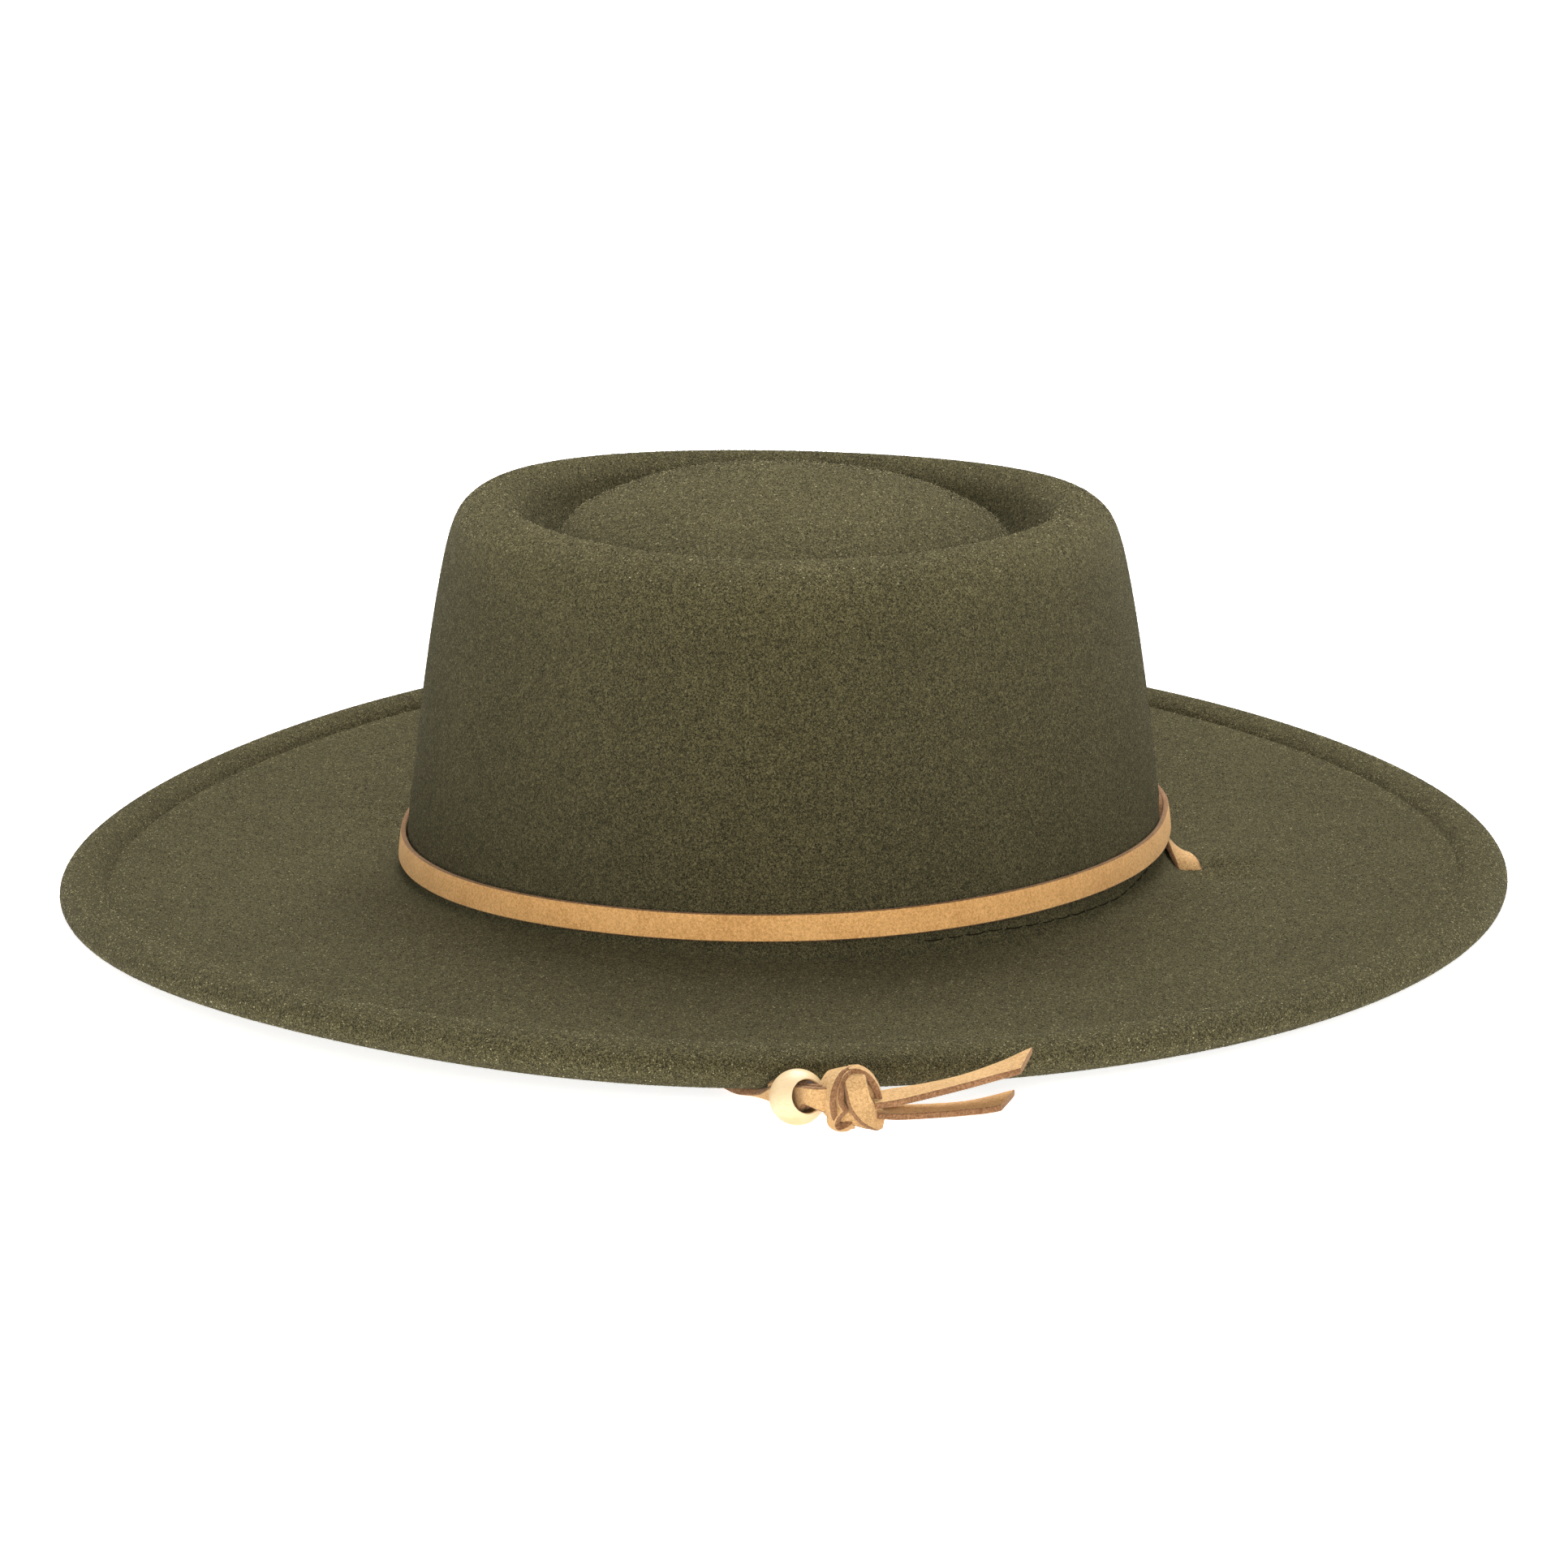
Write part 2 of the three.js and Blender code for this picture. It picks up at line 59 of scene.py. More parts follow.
# Felt body
BRIM_HALF_WIDTH = 166.0
BRIM_HALF_DEPTH = 183.0
CROWN_WALL = 2.5
BRIM_WALL = 3.0
ROLL_RADIUS = 5.7
ROLL_HALF_HEIGHT = 4.1
REST_FLAT = 0.6
BRIM_WAVE = [
    {"order": 1, "cos": -0.9, "sin": 0.0},
    {"order": 2, "cos": -2.9, "sin": -0.3},
    {"order": 3, "cos": 1.2, "sin": -0.7},
]
CROWN_LEAN = [
    {"order": 1, "cos": -1.2, "sin": -3.7},
    {"order": 2, "cos": 1.2, "sin": 0.0},
]
CROWN_SHIFT = 0.45
ROLL_SAG = 1.3  # the rolled edge hangs lower on the left of the front
SAG_ANGLE = 265.0
SAG_SPREAD = 20.0
FELT_PROFILE = [
    # half_width, half_depth, height over the brim's middle surface, share of lean, share of wave
    [0, 0, 91.1, 0, 0],
    [16, 20.5, 89.9, 0.3, 0],
    [33, 42, 85.7, 0.6, 0],
    [46.3, 57.6, 79.6, 0.85, 0],
    [51.4, 63.4, 74.4, 1, 0],
    [54.4, 66.6, 70, 1, 0],
    [57.8, 70, 74.5, 1, 0],
    [61, 73.4, 80.6, 1, 0],
    [66.4, 79, 83.8, 1, 0],
    [72.3, 84.6, 81.4, 1, 0],
    [76.1, 89, 75.2, 1, 0],
    [79.4, 93.4, 61, 0.8, 0.15],
    [82.5, 98.4, 42, 0.5, 0.4],
    [84.9, 102.4, 24, 0.25, 0.75],
    [86.3, 104.5, 13, 0.1, 0.95],
    [86.5, 105, 8, 0, 1],
    [87.2, 106, 4.9, 0, 1],
    [89.4, 109, 2.8, 0, 1],
    [93.5, 114, 1.9, 0, 1],
    [101, 121, 1.5, 0, 1],
    [128, 147, 1.5, 0, 1],
    [151, 168, 1.5, 0, 1],
]
WALL_FROM, WALL_TO = 75, 100  # half widths of the crown's wall and foot

# Suede lace
LACE_WIDTH = 6.0
LACE_THICK = 1.4
BAND_THICK = 1.15  # the band is stretched a little thinner
BAND_RIDE = [
    # height of the band's middle over the brim's middle surface
    {"order": 0, "cos": 9.86, "sin": 0.0},
    {"order": 1, "cos": 1.23, "sin": 0.75},
    {"order": 2, "cos": 0.22, "sin": -0.5},
    {"order": 3, "cos": -0.51, "sin": 0.03},
]
BAND_CONE = 7.0
BAND_CLEAR = 0.3
BAND_STEPS = 288
LACE_STARTS = (4, 13)  # the band comes to lie over the lace behind it between these angles
LACE_ENDS = (157, 171)  # and leaves it between these
LACE_GAP = 0.15
BAND_BULGES = [
    # the band stands away where the lace comes out from behind it: degrees and millimetres
    {"angle": 152, "spread": 8, "out": 2.6, "up": 0.4},
    {"angle": 8, "spread": 5, "out": 0.35, "up": 0.0},
]
DENT_DEPTH = 1.1
DENT_STARTS = (0, 6)
DENT_ENDS = (16, 34)
BACK_LACE_ANGLES = (25.2, 145.1)
BACK_LACE_CLEAR = 0.2
BACK_LACE_STEPS = 120
CORD_STEPS = 300
SHORT_STEPS = 60  # for a tail or a turn of the knot

# Slits, bead and knot
SLITS = [
    # place, turn in degrees, and how strongly the felt beside it is folded
    {"x": 94.3, "y": 0.6, "turn": 0.0, "fold": 1.0},
    {"x": -90.6, "y": 28.9, "turn": -8.0, "fold": 0.4},
]
FLOOR_Z = LACE_THICK / 2 + 0.1
BEAD_RADIUS = 5.75
BEAD_BORE = 3.35
BEAD_AT = Vector((25.5, -189.7, BEAD_RADIUS))
BEAD_AXIS = Vector((0.5535, -0.783, 0.289)).normalized()
KNOT_AT = Vector((37.3, -191.2, 6.4))


# Camera
def add_camera(brim_level):
    """The camera at the photograph's angle: the brim's middle falls on its measured pixel."""
    turn, rise = math.radians(CAMERA_TURN), math.radians(CAMERA_ELEVATION)
    toward = Vector((math.sin(turn) * math.cos(rise), -math.cos(turn) * math.cos(rise), math.sin(rise)))
    data = bpy.data.cameras.new("camera")
    data.sensor_width = SENSOR_WIDTH
    data.lens = SENSOR_WIDTH * CAMERA_DISTANCE * PX_PER_MM / PHOTO_PX
    data.shift_x = (PHOTO_PX / 2 - BRIM_CENTRE_PX[0]) / PHOTO_PX
    data.shift_y = (BRIM_CENTRE_PX[1] - PHOTO_PX / 2) / PHOTO_PX
    data.clip_start, data.clip_end = CLIP_START, CLIP_END
    camera = bpy.data.objects.new("camera", data)
    bpy.context.scene.collection.objects.link(camera)
    roll = Matrix.Rotation(math.radians(CAMERA_ROLL), 4, "Z")
    place = (Vector((0, 0, brim_level)) + CAMERA_DISTANCE * toward) * MM
    look = toward.to_track_quat("Z", "Y").to_matrix().to_4x4()
    camera.matrix_world = Matrix.Translation(place) @ look @ roll
    bpy.context.scene.camera = camera


def series(rows, angle):
    """Sum of a few waves round the hat at an angle in radians."""
    return sum(r["cos"] * np.cos(r["order"] * angle) + r["sin"] * np.sin(r["order"] * angle) for r in rows)


LOWEST_WAVE = min(series(BRIM_WAVE, math.radians(d)) for d in range(360))
BRIM_LEVEL = ROLL_HALF_HEIGHT - LOWEST_WAVE - REST_FLAT
add_camera(BRIM_LEVEL)


# Curves
def spline(rows, power, end_share=1.0, per_row=24):
    """Dense rows on a smooth curve through rows. With power 0 the rows count as evenly spaced."""
    rows = np.asarray(rows, float)
    gaps = np.linalg.norm(np.diff(rows[:, :3], axis=0), axis=1) ** power
    slopes = np.diff(rows, axis=0) / gaps[:, None]
    tangents = np.empty_like(rows)
    inner = slopes[:-1] * gaps[1:, None] + slopes[1:] * gaps[:-1, None]
    tangents[1:-1] = inner / (gaps[:-1] + gaps[1:])[:, None]
    tangents[0], tangents[-1] = slopes[0] * end_share, slopes[-1] * end_share
    dense = []
    for i, gap in enumerate(gaps):
        for t in np.arange(per_row) / per_row:
            t2, t3 = t * t, t**3
            point = (2 * t3 - 3 * t2 + 1) * rows[i] + (3 * t2 - 2 * t3) * rows[i + 1]
            dense.append(point + gap * ((t3 - 2 * t2 + t) * tangents[i] + (t3 - t2) * tangents[i + 1]))
    dense.append(rows[-1])
    return np.array(dense)


def spread(dense, line, steps, bend_weight=0.0, weight=None):
    """Rows picked from dense ones, evenly by length along line plus a share for its bends."""
    runs = np.diff(line, axis=0)
    lengths = np.linalg.norm(runs, axis=1)
    units = runs / np.maximum(lengths, 1e-9)[:, None]
    bends = np.arccos(np.clip((units[:-1] * units[1:]).sum(1), -1, 1))
    cost = lengths + bend_weight * np.append(bends, 0)
    if weight is not None:
        cost = cost * weight
    total = np.insert(np.cumsum(cost), 0, 0)
    want = np.linspace(0, total[-1], steps + 1)
    return np.array([np.interp(want, total, column) for column in dense.T]).T


def smoothstep(x, low, high):
    t = np.clip((x - low) / (high - low), 0, 1)
    return t * t * (3 - 2 * t)


def bell(x, middle, spread):
    """1 at the middle, falling away to both sides."""
    return np.exp(-(((x - middle) / spread) ** 2))


# Meshes
def new_object(name, mesh):
    piece = bpy.data.objects.new(name, mesh)
    bpy.context.scene.collection.objects.link(piece)
    return piece


FELT_SHARP = 50  # degrees past which an edge is drawn sharp
LACE_SHARP = 38


def mesh_piece(name, points, faces, material, attributes=(), sharp=FELT_SHARP):
    """A smooth mesh object from points in millimetres. attributes are (name, domain, numbers)."""
    mesh = bpy.data.meshes.new(name)
    mesh.from_pydata((np.asarray(points, float) * MM).tolist(), [], [list(f) for f in faces])
    for key, domain, numbers in attributes:
        mesh.attributes.new(key, "FLOAT", domain).data.foreach_set("value", np.asarray(numbers, np.float32))
    mesh.materials.append(material)
    mesh.shade_smooth()
    mesh.set_sharp_from_angle(angle=math.radians(sharp))
    return new_object(name, mesh)


def ring_faces(rings, count, closed):
    """Quads between neighbouring rings of count points."""
    faces = []
    for r in range(rings if closed else rings - 1):
        low, high = r * count, ((r + 1) % rings) * count
        for k in range(count):
            n = (k + 1) % count
            faces.append((low + k, low + n, high + n, high + k))
    return faces


# Node trees
def add_node(tree, kind, settings=None, sockets=None):
    """A node with its settings set first, then the values or links of its sockets."""
    node = tree.nodes.new(kind)
    for key, value in (settings or {}).items():
        setattr(node, key, value)
    for key, value in (sockets or {}).items():
        source = value.socket if isinstance(value, Value) else value
        if isinstance(source, bpy.types.NodeSocket):
            tree.links.new(source, node.inputs[key])
        else:
            node.inputs[key].default_value = source
    return node


class Value:
    """A number worked out by a node tree. Arithmetic on it adds Math nodes."""

    def __init__(self, tree, socket):
        self.tree, self.socket = tree, socket

    def math(self, operation, *values):
        node = add_node(self.tree, "ShaderNodeMath", {"operation": operation}, dict(enumerate(values)))
        return Value(self.tree, node.outputs[0])

    def __add__(self, other):
        return self.math("ADD", self, other)

    def __sub__(self, other):
        return self.math("SUBTRACT", self, other)

    def __rsub__(self, other):
        return self.math("SUBTRACT", other, self)

    def __mul__(self, other):
        return self.math("MULTIPLY", self, other)

    __radd__ = __add__
    __rmul__ = __mul__

    def between(self, low, high):
        """0 below low, 1 above high, smooth between them."""
        sockets = {0: self, 1: low, 2: high}
        node = add_node(self.tree, "ShaderNodeMapRange", {"interpolation_type": "SMOOTHSTEP"}, sockets)
        return Value(self.tree, node.outputs[0])


class Finish:
    """A material on one Principled shader, with its patterns in Object coordinates."""

    def __init__(self, name, **constants):
        self.material = bpy.data.materials.new(name)
        self.material.use_nodes = True
        self.tree = self.material.node_tree
        self.shader = self.tree.nodes["Principled BSDF"]
        self.constants(**constants)
        self.place = self.node("ShaderNodeTexCoord").outputs["Object"]

    def constants(self, **values):
        """Values that are the same all over the surface."""
        for key, value in values.items():
            self.shader.inputs[key.replace("_", " ")].default_value = value

    def node(self, kind, settings=None, sockets=None):
        return add_node(self.tree, kind, settings, sockets)

    def noise(self, per_mm, detail=2.0, rough=0.5, distortion=0.0, place=None):
        """Noise with that many features a millimetre."""
        sockets = {"Vector": place or self.place, "Scale": per_mm / MM, "Detail": detail}
        sockets.update({"Roughness": rough, "Distortion": distortion})
        return Value(self.tree, self.node("ShaderNodeTexNoise", None, sockets).outputs["Fac"])

    def stretched(self, scale, turn=(0, 0, 0)):
        """Object coordinates scaled and turned for a pattern with a direction."""
        sockets = {"Vector": self.place, "Scale": scale, "Rotation": turn}
        return self.node("ShaderNodeMapping", None, sockets).outputs[0]

    def painted_top_light(self, colour, low_mm, high_mm, gain):
        """The colour, brightened toward the top of the piece: painted light from above."""
        parts = self.node("ShaderNodeSeparateXYZ", None, {0: self.place})
        height = Value(self.tree, parts.outputs["Z"])
        return self.mix(height.between(low_mm * MM, high_mm * MM), colour, (gain, gain, gain), "MULTIPLY")

    def attribute(self, name):
        node = self.node("ShaderNodeAttribute", {"attribute_name": name})
        return Value(self.tree, node.outputs["Fac"])

    def mix(self, factor, first, second, blend="MIX"):
        """A colour between two colours."""
        settings = {"data_type": "RGBA", "blend_type": blend}
        colours = [(*c, 1) if isinstance(c, tuple) else c for c in (first, second)]
        return self.node("ShaderNodeMix", settings, {0: factor, 6: colours[0], 7: colours[1]}).outputs[2]

    def bump(self, height, depth_mm, strength):
        sockets = {"Height": height, "Distance": depth_mm * MM, "Strength": strength}
        node = self.node("ShaderNodeBump", None, sockets)
        self.tree.links.new(node.outputs[0], self.shader.inputs["Normal"])

    def set(self, key, value):
        source = value.socket if isinstance(value, Value) else value
        self.tree.links.new(source, self.shader.inputs[key])


# Finishes, in linear red, green and blue
FELT_DARK = (0.018, 0.015, 0.006)
FELT_MID = (0.080, 0.067, 0.027)
FELT_LIGHT = (0.215, 0.184, 0.085)
NAP_DARK = (0.010, 0.008, 0.003)
NAP_LIGHT = (0.50, 0.44, 0.24)
TOP_LIGHT_HEIGHTS = (74.0, 92.0)  # between them the crown is painted paler, as painted light from above
TOP_LIGHT_GAIN = 1.25
FELT_SHEEN = (0.62, 0.6, 0.4, 1)
BAND_WORN, BAND_FRESH = (0.62, 0.30, 0.09), (0.97, 0.56, 0.215)
LACE_WORN, LACE_FRESH = (0.42, 0.235, 0.088), (0.70, 0.435, 0.195)
CUT_DARK, CUT_LIGHT = (0.15, 0.066, 0.026), (0.36, 0.185, 0.085)
SUEDE_SHEEN = (0.9, 0.75, 0.5, 1)
WOOD_PALE, WOOD_WARM = (0.77, 0.58, 0.335), (0.70, 0.48, 0.225)
WOOD_GRAIN = (0.52, 0.34, 0.13)
BORE_DARK, BORE_LIGHT = (0.20, 0.09, 0.02), (0.46, 0.25, 0.07)
THREAD_DARK, THREAD_LIGHT = (0.010, 0.008, 0.004), (0.030, 0.025, 0.012)


def felt_finish():
    """Olive felt, mottled from the matted wool, with small curls and specks, and painted paler toward the
    crown's top as light from above.
    """
    felt = Finish("wool_felt", Sheen_Weight=0.17, Sheen_Roughness=0.45, Sheen_Tint=FELT_SHEEN)
    felt.constants(Specular_IOR_Level=0.1, Roughness=0.95)
    cloudy = felt.noise(0.035, detail=3, rough=0.5)
    mottle = felt.noise(0.5, detail=3, rough=0.6, distortion=0.6)
    curl = felt.noise(1.6, detail=2, rough=0.6, distortion=2.6)
    speck = felt.noise(2.8, detail=1, rough=0.5, distortion=1.4)
    swing = (mottle - 0.5) * 0.4 + (curl - 0.5) * 2.2 + (speck - 0.5) * 2.8 + (cloudy - 0.5) * 0.2
    tone = swing + 0.5
    low = felt.mix(tone.between(0.05, 0.5), FELT_DARK, FELT_MID)
    colour = felt.mix(tone.between(0.5, 0.98), low, FELT_LIGHT)
    # Painted light: the colour is made paler toward the crown's top, as if lit from above.
    felt.set("Base Color", felt.painted_top_light(colour, *TOP_LIGHT_HEIGHTS, TOP_LIGHT_GAIN))
    felt.bump(mottle * 0.2 + curl * 1.1 + speck * 0.8, depth_mm=0.6, strength=1.0)
    return felt.material


def nap_finish():
    """Loose fibres of the felt, each with its own tone, painted paler toward the crown's top as light from
    above.
    """
    nap = Finish("felt_nap", Sheen_Weight=0.05, Sheen_Roughness=0.5)
    nap.constants(Specular_IOR_Level=0.1, Roughness=0.9)
    tone = nap.attribute("tone")
    low = nap.mix(tone.between(0.15, 0.6), NAP_DARK, FELT_MID)
    colour = nap.mix(tone.between(0.55, 1.0), low, NAP_LIGHT)
    # Painted light: the fibres are made paler toward the crown's top, as if lit from above.
    nap.set("Base Color", nap.painted_top_light(colour, *TOP_LIGHT_HEIGHTS, TOP_LIGHT_GAIN))
    return nap.material


def suede_finish(name, worn, fresh):
    """Suede: a face with a fine nap between two tans, and darker brown where the lace is cut."""
    suede = Finish(name, Sheen_Weight=0.25, Sheen_Roughness=0.5, Sheen_Tint=SUEDE_SHEEN)
    suede.constants(Specular_IOR_Level=0.2, Roughness=0.92)
    broad = suede.noise(0.12, detail=2, rough=0.5)
    grain = suede.noise(1.6, detail=3, rough=0.65, distortion=0.5)
    pores = suede.noise(3.5, detail=2, rough=0.6)
    tone = broad * 0.3 + grain * 0.9 + pores * 0.8 - 0.52
    face = suede.mix(tone.between(0.2, 0.75), worn, fresh)
    cut = suede.mix(tone.between(0.25, 0.75), CUT_DARK, CUT_LIGHT)
    border = suede.attribute("cut_edge") + (grain - 0.5) * 0.6
    suede.set("Base Color", suede.mix(border.between(0.4, 0.6), face, cut))
    suede.bump(grain * 0.7 + pores * 0.6, depth_mm=0.35, strength=0.6)
    return suede.material


def wood_finish():
    """Pale turned wood: faint grain, warmer and browner inside the bore."""
    wood = Finish("pale_wood", Coat_Weight=0.15, Coat_Roughness=0.3)
    along = math.atan2(-BEAD_AXIS.y, BEAD_AXIS.x)
    stretched = wood.stretched((0.25, 1.0, 1.0), (0, 0, along))
    grain = wood.noise(0.9, detail=3, rough=0.6, distortion=0.8, place=stretched)
    patch = wood.noise(0.12, detail=2, rough=0.5)
    pale = wood.mix(patch.between(0.4, 0.65), WOOD_PALE, WOOD_WARM)
    body = wood.mix(grain.between(0.5, 0.75) * 0.35, pale, WOOD_GRAIN)
    inside = wood.mix(grain.between(0.3, 0.7), BORE_DARK, BORE_LIGHT)
    wood.set("Base Color", wood.mix(wood.attribute("bore").between(0.25, 0.8), body, inside))
    wood.set("Roughness", grain * 0.15 + 0.42)
    wood.bump(grain, depth_mm=0.15, strength=0.2)
    return wood.material


def thread_finish():
    """Dark thread of the stitches."""
    thread = Finish("dark_thread", Roughness=0.9, Specular_IOR_Level=0.05)
    twist = thread.noise(2.5, detail=2, rough=0.5)
    thread.set("Base Color", thread.mix(twist, THREAD_DARK, THREAD_LIGHT))
    return thread.material


FELT = felt_finish()
NAP = nap_finish()
BAND_SUEDE = suede_finish("band_suede", BAND_WORN, BAND_FRESH)
LACE_SUEDE = suede_finish("lace_suede", LACE_WORN, LACE_FRESH)
WOOD = wood_finish()
THREAD = thread_finish()


# Laces
CORNER_ROUND = 0.22
FACE_SWELL = [0, 0.05, 0.07, 0.05, 0]
EDGE_SWELL = 0.04


def lace_section(width, thick):
    """Corners of the cut lace's section, slightly cushioned, and which of its sides are cut."""
    half, deep = width / 2, thick / 2
    flat, high = half - CORNER_ROUND, deep - CORNER_ROUND
    face = [-flat, -half / 2, 0, half / 2, flat]
    top = [(w, deep + s) for w, s in zip(face, FACE_SWELL)][::-1]
    bottom = [(w, -deep - s) for w, s in zip(face, FACE_SWELL)]
    left = [(-half, high), (-half - EDGE_SWELL, 0), (-half, -high)]
    right = [(half, -high), (half + EDGE_SWELL, 0), (half, high)]
    one_side = [0.0] * (len(face) - 1) + [1.0] * (len(left) + 1)
    return top + left + bottom + right, one_side * 2


def lace_mesh(stations, closed=False, slant=0.0, thick=LACE_THICK):
    """Points, faces and cut sides of a lace through stations.

    A station is a place, a direction along the lace, a width direction and a share of the full width.
    """
    points = []
    count = len(stations)
    for at, along, wide, share in stations:
        along = along / np.linalg.norm(along)
        across = wide - along * np.dot(wide, along)
        across /= np.linalg.norm(across)
        through = np.cross(along, across)
        corners, cut = lace_section(LACE_WIDTH * share, thick)
        shift = slant * max(0.0, 1 - np.linalg.norm(at - stations[-1][0]) / SLANT_RUN)
        for w, t in corners:
            points.append(at + across * w + through * t + along * shift * w / LACE_WIDTH)
    sides = len(cut)
    faces = ring_faces(count, sides, closed)
    cuts = cut * (count if closed else count - 1)
    if not closed:
        faces += [tuple(range(sides))[::-1], tuple(range((count - 1) * sides, count * sides))]
        cuts += [1.0, 1.0]
    placed = np.array(points)
    placed[:, 2] = np.maximum(placed[:, 2], 0.0)  # flattened where it would sink into the surface
    return placed, faces, cuts


def add_lace(name, stations, closed=False, slant=0.0, thick=LACE_THICK, material=LACE_SUEDE):
    points, faces, cuts = lace_mesh(stations, closed, slant, thick)
    piece = mesh_piece(name, points, faces, material, [("cut_edge", "FACE", cuts)], LACE_SHARP)
    faces_out(piece)
    return piece


def faces_out(piece):
    """Turns the faces of a closed shell outward."""
    shell = bmesh.new()
    shell.from_mesh(piece.data)
    bmesh.ops.recalc_face_normals(shell, faces=shell.faces)
    shell.to_mesh(piece.data)
    shell.free()


def full_row(row):
    """A route row with its width direction, none where the lace lies flat, and its share of the width."""
    row = list(row) + [0, 0, 0] * (len(row) == 3)
    return row + [1] * (7 - len(row))


def route_stations(rows, steps, bend_weight=8.0):
    """Stations along a smooth curve through route rows."""
    table = np.array([full_row(row) for row in rows], float)
    places = table[:, :3]
    ahead = np.gradient(places, axis=0)
    for i in range(len(table)):
        if not table[i, 3:6].any():
            flat = np.cross((0, 0, 1), ahead[i])
            table[i, 3:6] = flat / np.linalg.norm(flat)
        if i and np.dot(table[i, 3:6], table[i - 1, 3:6]) < 0:
            table[i, 3:6] *= -1
    dense = spline(table, 0.5)
    picked = spread(dense, dense[:, :3], steps, bend_weight)
    along = np.gradient(picked[:, :3], axis=0)
    return [(p[:3], a, p[3:6], p[6]) for p, a in zip(picked, along)]


def crown_at(height):
    """Half width and half depth of the crown's outer face at a height over the brim's middle surface."""
    rows = [r for r in FELT_PROFILE if WALL_FROM < r[0] < WALL_TO]
    heights = [-r[2] for r in rows]
    return [float(np.interp(-height, heights, [r[k] for r in rows])) for k in (0, 1)]


def round_crown(angle, off, rise=0.0):
    """A station of a lace laid round the crown, off clear of the wall."""
    height = series(BAND_RIDE, angle)
    cone = math.tan(math.radians(BAND_CONE))
    slope = LACE_WIDTH / 2 * cone
    low, high = crown_at(height - LACE_WIDTH / 2), crown_at(height + LACE_WIDTH / 2)
    wide, deep = (max(a - slope, b + slope) for a, b in zip(low, high))
    out = np.array([math.cos(angle) / wide, math.sin(angle) / deep, 0.0])
    out /= np.linalg.norm(out)
    z = BRIM_LEVEL + series(BRIM_WAVE, angle) + height + rise
    step = 0.01
    ends = [series(BRIM_WAVE, angle + s) + series(BAND_RIDE, angle + s) for s in (-step, step)]
    along = np.cross((0, 0, 1), out) * math.hypot(wide * math.sin(angle), deep * math.cos(angle))
    along[2] = (ends[1] - ends[0]) / (2 * step)
    at = np.array([wide * math.cos(angle), deep * math.sin(angle), z]) + out * (off + LACE_THICK / 2)
    return at, along, np.array([0, 0, 1.0]) - out * cone, 1.0


def dent(turn):
    """How far the lace behind the band is pressed into the felt at an angle in degrees."""
    return DENT_DEPTH * smoothstep(turn, *DENT_STARTS) * (1 - smoothstep(turn, *DENT_ENDS))


def crown_band():
    stations = []
    for turn in np.linspace(0, 360, BAND_STEPS, endpoint=False):
        behind = smoothstep(turn, *LACE_STARTS) * (1 - smoothstep(turn, *LACE_ENDS))
        off = BAND_CLEAR + behind * (LACE_THICK + LACE_GAP - dent(turn))
        rise = 0.0
        for bulge in BAND_BULGES:
            swell = bell(turn, bulge["angle"], bulge["spread"])
            off += bulge["out"] * swell
            rise += bulge["up"] * swell
        stations.append(round_crown(math.radians(turn), off, rise))
    return add_lace("crown_band_suede", stations, closed=True, thick=BAND_THICK, material=BAND_SUEDE)


def behind_band(turn):
    """A station of the lace between the crown and the band."""
    return round_crown(math.radians(turn), BACK_LACE_CLEAR - dent(turn))


def chin_lace_back():
    turns = np.linspace(*BACK_LACE_ANGLES, BACK_LACE_STEPS)
    return add_lace("chin_lace_behind", [behind_band(turn) for turn in turns])


def behind_rows(turns):
    """Route rows for the stretch of a strand that is still behind the band."""
    return [[*behind_band(t)[0], 0, 0, -1] for t in turns]


# Routes: place, width direction, share of the width. Rows of three have the lace lying flat.
RIGHT_ROUTE = behind_rows([24.8, 21, 17, 13.5, 10.5]) + [
    [86.1, 14.2, 12.3, 0.15, 0, -1],
    [87.3, 9.6, 10.3, 0.45, 0, -0.9],
    [89.1, 6.4, 9.1, 0.75, 0, -0.65],
    [91, 4, 7.9, 0.88, 0, -0.42, 0.95],
    [92.7, 2, 6.3, 0.96, 0, -0.25, 0.88],
    [94.1, 0.6, 3.9, 1, 0, 0, 0.82],
    [94.3, 0.1, 2.2, 1, 0, 0, 0.82],
    [94.4, -0.9, 1.3, 1, 0, 0, 0.95],
    [94.6, -2.8, 0.9],
    [95, -8, FLOOR_Z],
    [95.8, -20, FLOOR_Z],
    [94.6, -38, FLOOR_Z],
    [87, -64, FLOOR_Z],
    [70, -92, FLOOR_Z],
    [44, -116, FLOOR_Z],
    [19, -131, FLOOR_Z + 0.6],
    [6.5, -145, FLOOR_Z + 2],
    [6.5, -159, FLOOR_Z + 2],
    [12.9, -170, FLOOR_Z + 2.3, -0.84, -0.54, 0],
    [17.4, -176.2, 3.6, -0.75, -0.5, 0.5, 0.7],
    [20.8, -181.2, 4.9, -0.45, -0.3, 0.85, 0.75],
    [23.5, -185.7, 6, -0.15, -0.1, 1, 0.85],
    [26.2, -189.2, 6.1, 0, 0, 1, 0.95],
    [27.6, -191.3, 6.7, 0, 0, 1, 0.9],
    [28.5, -192.4, 7.4, 0, 0, 1, 0.65],
    [30.1, -193.6, 7.7, 0, 0, 1, 0.65],
    [31.9, -193.7, 7.4, 0, 0, 1, 0.8],
    [34, -192.9, 6.8, 0, 0, 1, 0.95],
]
